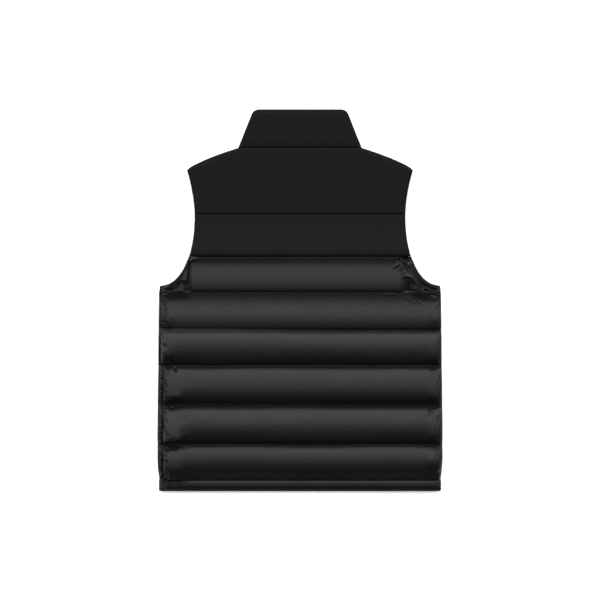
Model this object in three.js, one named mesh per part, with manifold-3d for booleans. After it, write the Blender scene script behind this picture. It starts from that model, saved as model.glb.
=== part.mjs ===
import * as THREE from 'three';
import { mergeVertices } from 'three/addons/utils/BufferGeometryUtils.js';
import Module from 'manifold-3d';

// A padded vest that lies on its closed front, with its back up. Millimetres, +Z up.
// +Y runs to the collar and +X to the right. The origin is under the middle of the outline.

// Heights along the middle of the back
const HEM_BAND_HEIGHT = 26;
const YOKE_LOWER_HEIGHT = 84;
const YOKE_UPPER_HEIGHT = 133;
const COLLAR_HEIGHT = 77.4;
// Quilted channels from the yoke seam down. crest is where a channel is highest, 0 at its upper seam.
const CHANNELS = [
  { height: 68, loft: 19, crest: 0.46 },
  { height: 76, loft: 21.5, crest: 0.5 },
  { height: 74, loft: 21.5, crest: 0.42 },
  { height: 78, loft: 22, crest: 0.42 },
  { height: 80, loft: 22, crest: 0.44 },
  { height: 67, loft: 19, crest: 0.42 },
];

// Half widths
const COLLAR_TOP_HALF = 93;
const COLLAR_BASE_HALF = 123.8;
const SHOULDER_HALF = 226.4;
const ARMHOLE_HALF = 211;
const UNDERARM_HALF = 280;
const COLLAR_CORNER = 9;
const HEM_CORNER = 4;
// Levels of the shoulder tip, of the narrowest place between the armholes and of the underarm
const SHOULDER_Y = 260;
const ARMHOLE_Y = 166.3;
const UNDERARM_Y = 29;
const BODY_SIDES = [
  { y: 29, half: 280 },
  { y: 15, half: 281.8 },
  { y: -130, half: 282.8 },
  { y: -210, half: 284 },
  { y: -318, half: 284.6 },
  { y: -336, half: 284 },
  { y: -355.7, half: 281.6 },
  { y: -364, half: 282.6 },
  { y: -381.7, half: 282.6 },
];

// Walls
const GAP = 0.3;
const SEAM_THICKNESS = 3.2;
const ZIP_EDGE_THICKNESS = 4.5;
const YOKE_THICKNESS = 7.4;
const STRIP_THICKNESS = 8;
const LAYER_GAP = 0.4;
// Height at which the back lies on the front: low at the yoke, collar and hem, high at the body
const THIN_REST = 8.35;
const BODY_REST = 22;
const YOKE_RAMP = { top: 130, bottom: 15 };
const HEM_RAMP = { top: -300, bottom: -353 };
// How far in from the edge a padded wall reaches its full thickness
const BODY_EDGE_ROUND = 34;
const YOKE_EDGE_ROUND = 12;
const ZIP_EDGE_ROUND = 24;
const STITCH_LINE = { depth: 3.2, width: 5 };
// The left side seam lies on the back, the right one at the very edge
const SIDE_SEAM_INSET = { left: 11, right: 0 };
const SEAM_SLANT = 5;
const EDGE_ROUND = 0.8;

// Front
const NECK_DROP = 80;
const COLLAR_TOP_DROP = 72;
const FRONT_ARMHOLE_SCOOP = 12;
const CENTRE_HALF_GAP = 8.3;

// Zip
const TAPE_INNER = 2.4;
const TAPE_OUTER = 8;
const TAPE_THICKNESS = 1;
const TAPE_DEPTH = 2.75;
const TAPE_TOP_Y = 306;
const SLIDER = { y: 296, length: 12, width: 9, plate: 0.9, room: 3.4, corner: 2 };
const POST = { half: 1.2, near: 3, far: 5.5 };
const BRIDGE = { half: 0.9, reach: 4.5, bar: 1.2, depth: 2.7, wall: 0.8 };
const PULL = { length: 34, hingeHalf: 3.6, tipHalf: 4.4, thickness: 1.2, bar: 0.5, eyeHalf: 2.4, eyeEnd: 8 };
const PULL_HINGE_Z = 1.95;

// Largest folds where the sides of the back meet the armholes. side is -1 on the left.
const FOLDS = [
  { side: -1, fromX: 221, fromY: 86, toX: 219, toY: 20, depth: 9, width: 10 },
  { side: -1, fromX: 228, fromY: 84, toX: 272, toY: 34, depth: 6, width: 9 },
  { side: -1, fromX: 232, fromY: 40, toX: 276, toY: 22, depth: 5, width: 8 },
  { side: 1, fromX: 222, fromY: 88, toX: 212, toY: 26, depth: 7, width: 10 },
  { side: 1, fromX: 226, fromY: 72, toX: 258, toY: 34, depth: 6, width: 9 },
  { side: 1, fromX: 246, fromY: 42, toX: 278, toY: 22, depth: 5, width: 8 },
];

// Levels that follow from the heights
const HALF_LENGTH = (HEM_BAND_HEIGHT + YOKE_LOWER_HEIGHT + YOKE_UPPER_HEIGHT + COLLAR_HEIGHT
  + CHANNELS.reduce((sum, channel) => sum + channel.height, 0)) / 2;
const HEM_EDGE_Y = -HALF_LENGTH;
const HEM_SEAM_Y = HEM_EDGE_Y + HEM_BAND_HEIGHT;
const COLLAR_SEAM_Y = HALF_LENGTH - COLLAR_HEIGHT;
const STITCH_LINE_Y = COLLAR_SEAM_Y - YOKE_UPPER_HEIGHT;
const YOKE_SEAM_Y = STITCH_LINE_Y - YOKE_LOWER_HEIGHT;
const STRIP_FLAT_HALF = COLLAR_BASE_HALF - LAYER_GAP / 2 - SEAM_THICKNESS;

// Shares of a channel's height, and distances in from an edge, at which a wall has its sections
const CHANNEL_STEPS = [0.07, 0.22, 0.48, 0.78, 1];
const UNDERARM_LEVELS = [36, 33, 31, 29.6, 28.6, 24];
const EDGE_STEPS = [0, 4, 12, 25, 44, 62];
const ZIP_STEPS = [0, 4, 11, 24];
const NECK_STEPS = [0.2, 0.35, 0.5, 0.62, 0.73, 0.83, 0.92, 1];
const WRAP_STEPS = [0, 0.12, 0.38, 0.68, 1];
const YOKE_SEAM_LEVELS = [4, 11, 22, 40].map((rise) => YOKE_SEAM_Y + rise);

const mix = THREE.MathUtils.lerp;
const clamp = THREE.MathUtils.clamp;
const smooth = THREE.MathUtils.smoothstep;

// Shallow curves of the half outline, each with its level falling from start to end
function curve(...points) {
  return new THREE.CubicBezierCurve(...points.map(([x, y]) => new THREE.Vector2(x, y)));
}

const SHOULDER_CURVE = curve([COLLAR_BASE_HALF, COLLAR_SEAM_Y], [COLLAR_BASE_HALF + 28.6, COLLAR_SEAM_Y - 7.5],
  [SHOULDER_HALF - 7, SHOULDER_Y + 11.5], [SHOULDER_HALF, SHOULDER_Y]);
const UPPER_ARMHOLE_CURVE = curve([SHOULDER_HALF, SHOULDER_Y], [SHOULDER_HALF - 9, SHOULDER_Y - 28.3],
  [ARMHOLE_HALF, ARMHOLE_Y + 30.3], [ARMHOLE_HALF, ARMHOLE_Y]);
const LOWER_ARMHOLE_CURVE = curve([ARMHOLE_HALF, ARMHOLE_Y], [ARMHOLE_HALF, ARMHOLE_Y - 64.6],
  [UNDERARM_HALF - 48.6, UNDERARM_Y], [UNDERARM_HALF, UNDERARM_Y]);

function curveHalfAt(path, y) {
  let low = 0;
  let high = 1;
  for (let step = 0; step < 30; step += 1) {
    const middle = (low + high) / 2;
    if (path.getPoint(middle).y > y) low = middle;
    else high = middle;
  }
  return path.getPoint((low + high) / 2).x;
}

function tableHalfAt(table, y) {
  const next = table.findIndex((row) => row.y <= y);
  if (next === 0) return table[0].half;
  if (next < 0) return table[table.length - 1].half;
  const above = table[next - 1];
  const below = table[next];
  return mix(below.half, above.half, (y - below.y) / (above.y - below.y));
}

// How much a rounded corner takes off the half width at a distance from the end
function cornerLoss(distance, radius) {
  const inside = Math.max(0, radius - distance);
  return radius - Math.sqrt(Math.max(0, radius * radius - inside * inside));
}

function halfWidthAt(y) {
  if (y >= COLLAR_SEAM_Y) {
    const rise = (y - COLLAR_SEAM_Y) / COLLAR_HEIGHT;
    return mix(COLLAR_BASE_HALF, COLLAR_TOP_HALF, rise) - cornerLoss(HALF_LENGTH - y, COLLAR_CORNER);
  }
  if (y >= SHOULDER_Y) return curveHalfAt(SHOULDER_CURVE, y);
  if (y >= ARMHOLE_Y) return curveHalfAt(UPPER_ARMHOLE_CURVE, y);
  if (y >= UNDERARM_Y) return curveHalfAt(LOWER_ARMHOLE_CURVE, y);
  return tableHalfAt(BODY_SIDES, y) - cornerLoss(y - HEM_EDGE_Y, HEM_CORNER);
}

// The front is cut deeper than the back round each arm
function frontHalfWidthAt(y) {
  const share = clamp((y - 40) / (SHOULDER_Y - 45), 0, 1);
  return halfWidthAt(y) - FRONT_ARMHOLE_SCOOP * Math.sin(Math.PI * share) ** 2;
}

// The front neckline, and the inner edge of a front yoke that follows it
function neckLevelAt(share) {
  return COLLAR_SEAM_Y - NECK_DROP * (1 - share * share);
}

function frontInnerAt(y) {
  const share = Math.sqrt(clamp(1 - (COLLAR_SEAM_Y - y - LAYER_GAP) / NECK_DROP, 0, 1));
  return Math.max(CENTRE_HALF_GAP, STRIP_FLAT_HALF * share);
}

function restHeight(y) {
  const yoke = smooth(y, YOKE_RAMP.bottom, YOKE_RAMP.top);
  const hem = 1 - smooth(y, HEM_RAMP.bottom, HEM_RAMP.top);
  return mix(BODY_REST, THIN_REST, Math.max(yoke, hem));
}

// Distance from a point to a path of points
function distanceTo(path, x, y) {
  const point = new THREE.Vector2(x, y);
  const along = new THREE.Vector2();
  const toPoint = new THREE.Vector2();
  let nearest = Infinity;
  for (let i = 1; i < path.length; i += 1) {
    along.subVectors(path[i], path[i - 1]);
    toPoint.subVectors(point, path[i - 1]);
    const share = clamp(toPoint.dot(along) / along.lengthSq(), 0, 1);
    nearest = Math.min(nearest, toPoint.addScaledVector(along, -share).length());
  }
  return nearest;
}

function outlinePath(halfAt, from, to, count) {
  return Array.from({ length: count + 1 }, (_, i) => {
    const y = mix(from, to, i / count);
    return new THREE.Vector2(halfAt(y), y);
  });
}

const BACK_OUTLINE = outlinePath(halfWidthAt, COLLAR_SEAM_Y, HEM_SEAM_Y, 220);
const FRONT_OUTLINE = outlinePath(frontHalfWidthAt, COLLAR_SEAM_Y, HEM_SEAM_Y, 220);
const NECK_PATH = NECK_STEPS.map((share) => new THREE.Vector2(STRIP_FLAT_HALF * share, neckLevelAt(share)));

// Rise of a rounded edge, 0 at the edge and 1 from the given distance in
function edgeRise(distance, round) {
  const inside = 1 - clamp(distance / round, 0, 1);
  return Math.sqrt(1 - inside * inside);
}

function channelAt(y) {
  let top = YOKE_SEAM_Y;
  let number = 0;
  while (number < CHANNELS.length - 1 && y < top - CHANNELS[number].height) {
    top -= CHANNELS[number].height;
    number += 1;
  }
  const share = clamp((top - y) / CHANNELS[number].height, 0, 1);
  return { ...CHANNELS[number], number, share };
}

// Cross section of a filled channel, 0 at both seams and 1 at its crest
function channelDome(share, crest, fullness) {
  const turned = share ** (Math.log(0.5) / Math.log(crest));
  return Math.max(0, Math.sin(Math.PI * turned)) ** fullness;
}

function foldDepth(x, y) {
  let depth = 0;
  for (const fold of FOLDS) {
    const path = [new THREE.Vector2(fold.side * fold.fromX, fold.fromY),
      new THREE.Vector2(fold.side * fold.toX, fold.toY)];
    const off = distanceTo(path, x, y) / fold.width;
    depth = Math.max(depth, fold.depth * Math.exp(-off * off));
  }
  return depth;
}

// Filling is never quite even: a slow wave along each channel
function uneven(x, number) {
  return 1 + 0.05 * Math.sin(x / 71 + 2.1 * number) + 0.035 * Math.sin(x / 33 + 4.7 * number);
}

function backBodyThickness(x, y) {
  const channel = channelAt(y);
  const edge = edgeRise(distanceTo(BACK_OUTLINE, Math.abs(x), y), BODY_EDGE_ROUND);
  const dome = channelDome(channel.share, channel.crest, 0.6);
  const filled = channel.loft * dome * uneven(x, channel.number) * edge;
  return SEAM_THICKNESS + Math.max(0, filled - foldDepth(x, y) * dome * edge);
}

function frontBodyThickness(x, y) {
  const channel = channelAt(y);
  const side = edgeRise(distanceTo(FRONT_OUTLINE, x, y), BODY_EDGE_ROUND);
  const centre = edgeRise(x - CENTRE_HALF_GAP, ZIP_EDGE_ROUND);
  const filled = 1.3 * BODY_REST * channelDome(channel.share, 0.5, 0.5) * side * centre;
  const edge = mix(ZIP_EDGE_THICKNESS, SEAM_THICKNESS, centre);
  return Math.min(edge + filled, restHeight(y) - LAYER_GAP / 2);
}

function backYokeThickness(x, y) {
  const outline = distanceTo(BACK_OUTLINE, Math.abs(x), y);
  const seam = Math.min(y - YOKE_SEAM_Y, 2 * (COLLAR_SEAM_Y - y));
  const full = edgeRise(Math.min(outline, seam), YOKE_EDGE_ROUND);
  const off = (y - STITCH_LINE_Y) / STITCH_LINE.width;
  const stitch = STITCH_LINE.depth * Math.exp(-off * off) * full;
  return mix(SEAM_THICKNESS, YOKE_THICKNESS, full) - stitch;
}

function frontYokeThickness(x, y) {
  const outline = distanceTo(FRONT_OUTLINE, x, y);
  const neck = distanceTo(NECK_PATH, x, y);
  const round = edgeRise(Math.min(outline, neck, y - YOKE_SEAM_Y), YOKE_EDGE_ROUND);
  const centre = edgeRise(x - CENTRE_HALF_GAP, ZIP_EDGE_ROUND);
  const edge = mix(ZIP_EDGE_THICKNESS, SEAM_THICKNESS, centre);
  return Math.min(mix(edge, BODY_REST, round * centre), restHeight(y) - LAYER_GAP / 2);
}

// A closed geometry from its points and faces, turned so that every face looks out
function closedGeometry(points, faces) {
  let volume = 0;
  const cross = new THREE.Vector3();
  for (const [a, b, c] of faces) volume += points[a].dot(cross.crossVectors(points[b], points[c]));
  const index = faces.flatMap(([a, b, c]) => (volume > 0 ? [a, b, c] : [a, c, b]));
  const geometry = new THREE.BufferGeometry();
  geometry.setAttribute('position', new THREE.Float32BufferAttribute(points.flatMap((p) => p.toArray()), 3));
  geometry.setIndex(index);
  geometry.computeVertexNormals();
  return geometry;
}

// A wall between two grids of points, closed round its border. sections is an array of rows,
// and each row an array of { outer, inner } points.
function wallGeometry(sections) {
  const rows = sections.length;
  const columns = sections[0].length;
  const points = sections.flat().flatMap((pair) => [pair.outer, pair.inner]);
  const at = (row, column, layer) => 2 * (row * columns + column) + layer;
  const faces = [];
  const quad = (a, b, c, d) => faces.push([a, b, c], [a, c, d]);
  for (let r = 0; r < rows - 1; r += 1) {
    for (let c = 0; c < columns - 1; c += 1) {
      quad(at(r, c, 0), at(r, c + 1, 0), at(r + 1, c + 1, 0), at(r + 1, c, 0));
      quad(at(r, c, 1), at(r + 1, c, 1), at(r + 1, c + 1, 1), at(r, c + 1, 1));
    }
    quad(at(r, 0, 0), at(r + 1, 0, 0), at(r + 1, 0, 1), at(r, 0, 1));
    quad(at(r, columns - 1, 0), at(r, columns - 1, 1), at(r + 1, columns - 1, 1), at(r + 1, columns - 1, 0));
  }
  for (let c = 0; c < columns - 1; c += 1) {
    quad(at(0, c, 0), at(0, c, 1), at(0, c + 1, 1), at(0, c + 1, 0));
    quad(at(rows - 1, c, 0), at(rows - 1, c + 1, 0), at(rows - 1, c + 1, 1), at(rows - 1, c, 1));
  }
  return closedGeometry(points, faces);
}

function levelsOfBody() {
  const levels = [YOKE_SEAM_Y - GAP / 2];
  let top = YOKE_SEAM_Y;
  for (const { height } of CHANNELS) {
    for (const step of CHANNEL_STEPS) levels.push(top - height * step);
    top -= height;
  }
  levels[levels.length - 1] += GAP / 2;
  const others = levels.filter((y) => UNDERARM_LEVELS.every((level) => Math.abs(level - y) > 3));
  return [...others, ...UNDERARM_LEVELS].sort((a, b) => b - a);
}

// Places across a panel: close together at its two edges and even between them
function spread(left, right, leftSteps, rightSteps, middle) {
  const places = leftSteps.map((step) => left + step);
  const from = places[places.length - 1];
  const to = right - rightSteps[rightSteps.length - 1];
  for (let i = 1; i < middle; i += 1) places.push(mix(from, to, i / middle));
  return [...places, ...[...rightSteps].reverse().map((step) => right - step)];
}

function sideSeamAt(y, inset) {
  return Math.min(halfWidthAt(y), tableHalfAt(BODY_SIDES, Math.min(y, UNDERARM_Y)) - inset);
}

function backBodyGeometry() {
  const sections = levelsOfBody().map((y) => {
    const left = -sideSeamAt(y, SIDE_SEAM_INSET.left);
    const right = sideSeamAt(y, SIDE_SEAM_INSET.right);
    const slant = halfWidthAt(y) > -left + GAP ? SEAM_SLANT : 0;
    const places = spread(left, right, EDGE_STEPS, EDGE_STEPS, 10);
    return places.map((x) => {
      const innerX = mix(left + slant, right, (x - left) / (right - left));
      const outerX = x === right ? right - EDGE_ROUND : x;
      const floor = restHeight(y) + LAYER_GAP / 2;
      return {
        outer: new THREE.Vector3(outerX, y, floor + backBodyThickness(x, y)),
        inner: new THREE.Vector3(innerX, y, floor),
      };
    });
  });
  return wallGeometry(sections);
}

// Where the front goes round the side on to the back, up to the side seam. Below an armhole only.
function wrapPoints(y, side, inset, edge) {
  const reach = edge - sideSeamAt(y, inset) - GAP;
  const floor = restHeight(y);
  return WRAP_STEPS.map((step, i) => {
    if (reach < GAP) {
      const rise = SEAM_THICKNESS * (1 - (i + 1) / (WRAP_STEPS.length + 1));
      return new THREE.Vector3(side * edge, y, floor - LAYER_GAP / 2 - rise);
    }
    const x = edge - reach * step;
    const lift = step === 0 ? 0 : LAYER_GAP / 2 + backBodyThickness(side * x, y);
    return new THREE.Vector3(side * x, y, floor + lift);
  });
}

function frontBodyGeometry(side, inset) {
  const sections = levelsOfBody().map((y) => {
    const edge = frontHalfWidthAt(y);
    const floor = restHeight(y) - LAYER_GAP / 2;
    const outer = spread(CENTRE_HALF_GAP, edge, ZIP_STEPS, EDGE_STEPS, 4).map((x) => {
      const rounded = x === edge ? edge - EDGE_ROUND : x;
      return new THREE.Vector3(side * rounded, y, floor - frontBodyThickness(x, y));
    });
    const wraps = inset > 0 && edge - sideSeamAt(y, inset) > 2 * GAP;
    if (inset > 0) outer.push(...wrapPoints(y, side, inset, edge));
    const innerEdge = wraps ? sideSeamAt(y, inset) - SEAM_SLANT + GAP : edge;
    return outer.map((point, i) => {
      const innerX = mix(CENTRE_HALF_GAP, innerEdge, i / (outer.length - 1));
      return { outer: point, inner: new THREE.Vector3(side * innerX, y, floor) };
    });
  });
  return wallGeometry(sections);
}

function backYokeGeometry() {
  const stitched = [-8, -4, 0, 4, 8].map((rise) => STITCH_LINE_Y + rise);
  const levels = [YOKE_SEAM_Y + GAP / 2, ...YOKE_SEAM_LEVELS, 148, ...stitched, 195, 215, 235, 250,
    SHOULDER_Y, 266, 274, 283, 291, 298, 301.5, COLLAR_SEAM_Y - GAP / 2];
  const sections = levels.map((y) => {
    const half = halfWidthAt(y);
    const places = spread(-half, half, EDGE_STEPS.slice(0, 5), EDGE_STEPS.slice(0, 5), 8);
    return places.map((x) => {
      const outerX = clamp(x, EDGE_ROUND - half, half - EDGE_ROUND);
      const floor = restHeight(y) + LAYER_GAP / 2;
      return {
        outer: new THREE.Vector3(outerX, y, floor + backYokeThickness(x, y)),
        inner: new THREE.Vector3(x, y, floor),
      };
    });
  });
  return wallGeometry(sections);
}

function frontYokeGeometry(side) {
  const neck = NECK_STEPS.map((share) => neckLevelAt(share) - LAYER_GAP);
  const corner = neckLevelAt(CENTRE_HALF_GAP / STRIP_FLAT_HALF) - LAYER_GAP;
  const levels = [YOKE_SEAM_Y + GAP / 2, ...YOKE_SEAM_LEVELS, 150, 175, 200, 216, corner, ...neck, SHOULDER_Y];
  const sections = levels.sort((a, b) => a - b).map((y) => {
    const inner = frontInnerAt(y);
    const half = frontHalfWidthAt(y);
    const shares = [0, 0.03, 0.08, 0.16, 0.3, 0.5, 0.7, 0.86, 0.93, 0.98, 1];
    return shares.map((share) => {
      const x = mix(inner, half, share);
      const floor = restHeight(y) - LAYER_GAP / 2;
      return {
        outer: new THREE.Vector3(side * Math.min(x, half - EDGE_ROUND * share), y,
          floor - frontYokeThickness(x, y)),
        inner: new THREE.Vector3(side * x, y, floor),
      };
    });
  });
  return wallGeometry(sections);
}

// A strip that is folded at both sides and open at the centre front: across the back, round each
// side fold and along each half of the front. rows gives its level, its thickness and how far its
// front half hangs lower at the centre.
function foldedStripGeometry(rows, frontSteps) {
  const backSteps = [0.95, 0.85, 0.7, 0.5, 0.25, 0];
  const turns = [75, 50, 25, 0, -25, -50, -75].map((angle) => THREE.MathUtils.degToRad(angle));
  const sections = rows.map(({ y, thickness, drop }) => {
    const flat = halfWidthAt(y) - LAYER_GAP / 2 - thickness;
    const floor = restHeight(y);
    const pair = (x, level, outerX, outerZ, innerX, innerZ) => ({
      outer: new THREE.Vector3(x + outerX, level, floor + outerZ),
      inner: new THREE.Vector3(x + innerX, level, floor + innerZ),
    });
    const front = (side) => [...frontSteps, CENTRE_HALF_GAP / flat].map((share) => {
      const taper = edgeRise(flat * share - CENTRE_HALF_GAP, YOKE_EDGE_ROUND);
      const wall = mix(Math.min(ZIP_EDGE_THICKNESS, thickness), thickness, taper);
      const level = y - drop * (1 - share * share);
      return pair(side * flat * share, level, 0, -LAYER_GAP / 2 - wall, 0, -LAYER_GAP / 2);
    });
    const fold = (side) => turns.map((angle) => {
      const outer = LAYER_GAP / 2 + thickness;
      const inner = LAYER_GAP / 2;
      return pair(side * flat, y, side * outer * Math.cos(angle), outer * Math.sin(angle),
        side * inner * Math.cos(angle), inner * Math.sin(angle));
    });
    const back = (side) => [1, ...backSteps].map((share) => (
      pair(side * flat * share, y, 0, LAYER_GAP / 2 + thickness, 0, LAYER_GAP / 2)));
    const half = (side) => [...back(side).reverse(), ...fold(side), ...front(side)];
    return [...half(-1).reverse(), ...half(1).slice(1)];
  });
  return wallGeometry(sections);
}

function collarGeometry() {
  const profile = [
    { rise: GAP / 2, thickness: SEAM_THICKNESS },
    { rise: 4, thickness: 6.2 },
    { rise: 10, thickness: 7.6 },
    { rise: 24, thickness: STRIP_THICKNESS },
    { rise: 44, thickness: STRIP_THICKNESS },
    { rise: 62, thickness: STRIP_THICKNESS },
    { rise: 69, thickness: 7.8 },
    { rise: 73, thickness: 7 },
    { rise: 76, thickness: 5.2 },
    { rise: COLLAR_HEIGHT, thickness: 3 },
  ];
  return foldedStripGeometry(profile.map(({ rise, thickness }) => ({
    y: COLLAR_SEAM_Y + rise,
    thickness,
    drop: mix(NECK_DROP, COLLAR_TOP_DROP, rise / COLLAR_HEIGHT),
  })), [...NECK_STEPS].reverse());
}

function hemBandGeometry() {
  const full = THIN_REST - LAYER_GAP / 2;
  const profile = [
    { rise: HEM_BAND_HEIGHT - GAP / 2, thickness: SEAM_THICKNESS },
    { rise: 22, thickness: 6.4 },
    { rise: 17, thickness: full },
    { rise: 8, thickness: full },
    { rise: 3, thickness: 6.8 },
    { rise: 0.8, thickness: 5 },
    { rise: 0, thickness: 3 },
  ];
  return foldedStripGeometry(profile.map(({ rise, thickness }) => (
    { y: HEM_EDGE_Y + rise, thickness, drop: 0 })), [1, 0.9, 0.7, 0.4, 0.15]);
}

// One side of the zip's tape, as a thin band that follows the edges of the front
function zipTapeGeometry(side) {
  const levels = [HEM_EDGE_Y + 2, HEM_SEAM_Y, ...levelsOfBody().slice().reverse(), YOKE_SEAM_Y,
    ...YOKE_SEAM_LEVELS, TAPE_TOP_Y];
  const sections = levels.map((y) => [TAPE_INNER, TAPE_OUTER].map((x) => {
    const middle = restHeight(y) - TAPE_DEPTH;
    return {
      outer: new THREE.Vector3(side * x, y, middle - TAPE_THICKNESS / 2),
      inner: new THREE.Vector3(side * x, y, middle + TAPE_THICKNESS / 2),
    };
  }));
  return wallGeometry(sections);
}

// Joins closed geometries into one
async function joined(geometries) {
  const wasm = await Module();
  wasm.setup();
  const solids = geometries.map((source) => {
    const bare = source.clone();
    bare.deleteAttribute('normal');
    bare.deleteAttribute('uv');
    const merged = mergeVertices(bare, 1e-4);
    return new wasm.Manifold(new wasm.Mesh({
      numProp: 3,
      vertProperties: Float32Array.from(merged.attributes.position.array),
      triVerts: Uint32Array.from(merged.index.array),
    }));
  });
  const mesh = solids.reduce((sum, solid) => sum.add(solid)).getMesh();
  const geometry = new THREE.BufferGeometry();
  geometry.setAttribute('position', new THREE.BufferAttribute(mesh.vertProperties, 3));
  geometry.setIndex(new THREE.BufferAttribute(mesh.triVerts, 1));
  geometry.computeVertexNormals();
  return geometry;
}

function roundedPlate(width, length, corner) {
  const x = width / 2;
  const y = length / 2;
  const shape = new THREE.Shape();
  shape.moveTo(x - corner, -y);
  shape.absarc(x - corner, corner - y, corner, -Math.PI / 2, 0, false);
  shape.absarc(x - corner, y - corner, corner, 0, Math.PI / 2, false);
  shape.absarc(corner - x, y - corner, corner, Math.PI / 2, Math.PI, false);
  shape.absarc(corner - x, corner - y, corner, Math.PI, 1.5 * Math.PI, false);
  return shape;
}

// The slider: two plates joined by a post, with a bridge below that the pull hangs on
function sliderGeometry() {
  const plate = roundedPlate(SLIDER.width, SLIDER.length, SLIDER.corner);
  const settings = { depth: SLIDER.plate, bevelEnabled: false, curveSegments: 4 };
  const outer = new THREE.ExtrudeGeometry(plate, settings);
  outer.translate(0, 0, -SLIDER.room / 2 - SLIDER.plate);
  const inner = new THREE.ExtrudeGeometry(plate, settings);
  inner.translate(0, 0, SLIDER.room / 2);
  const post = new THREE.BoxGeometry(2 * POST.half, POST.far - POST.near, SLIDER.room + SLIDER.plate);
  post.translate(0, (POST.near + POST.far) / 2, 0);
  const loop = new THREE.Shape();
  const top = -SLIDER.room / 2 - SLIDER.plate / 2;
  const bottom = -SLIDER.room / 2 - SLIDER.plate - BRIDGE.depth;
  loop.moveTo(-BRIDGE.reach, top);
  loop.lineTo(1 - BRIDGE.reach, bottom);
  loop.lineTo(BRIDGE.reach - 1, bottom);
  loop.lineTo(BRIDGE.reach, top);
  loop.lineTo(BRIDGE.reach - BRIDGE.bar, top);
  loop.lineTo(BRIDGE.reach - BRIDGE.bar - 0.6, bottom + BRIDGE.wall);
  loop.lineTo(0.6 + BRIDGE.bar - BRIDGE.reach, bottom + BRIDGE.wall);
  loop.lineTo(BRIDGE.bar - BRIDGE.reach, top);
  loop.closePath();
  const bridge = new THREE.ExtrudeGeometry(loop, { depth: 2 * BRIDGE.half, bevelEnabled: false });
  // The shape's own x and y become the object's y and z
  bridge.translate(0, 0, -BRIDGE.half);
  bridge.applyMatrix4(new THREE.Matrix4().set(0, 0, 1, 0, 1, 0, 0, 0, 0, 1, 0, 0, 0, 0, 0, 1));
  return joined([outer, inner, post, bridge]);
}

// The pull tab, flat along -Y from its hinge bar, with the eye that clears the bridge
function pullGeometry() {
  const shape = new THREE.Shape();
  const corner = 2.2;
  shape.moveTo(-PULL.hingeHalf, PULL.bar);
  shape.lineTo(-PULL.tipHalf, corner - PULL.length);
  shape.quadraticCurveTo(-PULL.tipHalf, -PULL.length, corner - PULL.tipHalf, -PULL.length);
  shape.lineTo(PULL.tipHalf - corner, -PULL.length);
  shape.quadraticCurveTo(PULL.tipHalf, -PULL.length, PULL.tipHalf, corner - PULL.length);
  shape.lineTo(PULL.hingeHalf, PULL.bar);
  shape.closePath();
  const eye = new THREE.Path();
  eye.moveTo(-PULL.eyeHalf, -PULL.bar);
  eye.lineTo(PULL.eyeHalf, -PULL.bar);
  eye.lineTo(PULL.eyeHalf, -PULL.eyeEnd);
  eye.lineTo(-PULL.eyeHalf, -PULL.eyeEnd);
  eye.closePath();
  shape.holes.push(eye);
  const geometry = new THREE.ExtrudeGeometry(shape, {
    depth: PULL.thickness, bevelEnabled: false, curveSegments: 5,
  });
  geometry.translate(0, 0, -PULL.thickness / 2);
  return geometry;
}

const MATTE_CLOTH = new THREE.MeshStandardMaterial({ color: 0x202023, roughness: 0.9, metalness: 0 });
const GLOSSY_CLOTH = new THREE.MeshStandardMaterial({ color: 0x17171a, roughness: 0.42, metalness: 0 });
const TAPE_CLOTH = new THREE.MeshStandardMaterial({ color: 0x141416, roughness: 0.85, metalness: 0 });
const DARK_METAL = new THREE.MeshStandardMaterial({ color: 0x2b2b2e, roughness: 0.4, metalness: 1 });

const vest = new THREE.Group();

function addPiece(name, geometry, material) {
  const mesh = new THREE.Mesh(geometry, material);
  mesh.name = name;
  vest.add(mesh);
  return mesh;
}

addPiece('back_yoke', backYokeGeometry(), MATTE_CLOTH);
addPiece('back_body', backBodyGeometry(), GLOSSY_CLOTH);
for (const [name, side] of [['left', -1], ['right', 1]]) {
  addPiece(`front_yoke_${name}`, frontYokeGeometry(side), MATTE_CLOTH);
  addPiece(`front_body_${name}`, frontBodyGeometry(side, SIDE_SEAM_INSET[name]), GLOSSY_CLOTH);
  addPiece(`zip_tape_${name}`, zipTapeGeometry(side), TAPE_CLOTH);
}
addPiece('collar', collarGeometry(), MATTE_CLOTH);
addPiece('hem_band', hemBandGeometry(), GLOSSY_CLOTH);
const slider = addPiece('zip_slider', await sliderGeometry(), DARK_METAL);
slider.position.set(0, SLIDER.y, THIN_REST - TAPE_DEPTH);
const pull = addPiece('zip_pull', pullGeometry(), DARK_METAL);
pull.position.set(0, SLIDER.y, PULL_HINGE_Z);

export default vest;
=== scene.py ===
"""A black padded vest that lies flat on its closed front, seen from above.

Sizes are in metres, in the part's own frame: +Z is up, +Y runs to the collar and +X to the right.
Each sub-assembly is a class with its sizes as fields, a method that builds its mesh and one that
dresses it. Each padded panel is a closed wall: a plain inner side and an outer side that carries
the quilting, the gathers along its seams and its folds.
"""

import logging
import math
from collections.abc import Callable, Sequence
from dataclasses import dataclass, field
from enum import Enum

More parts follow.
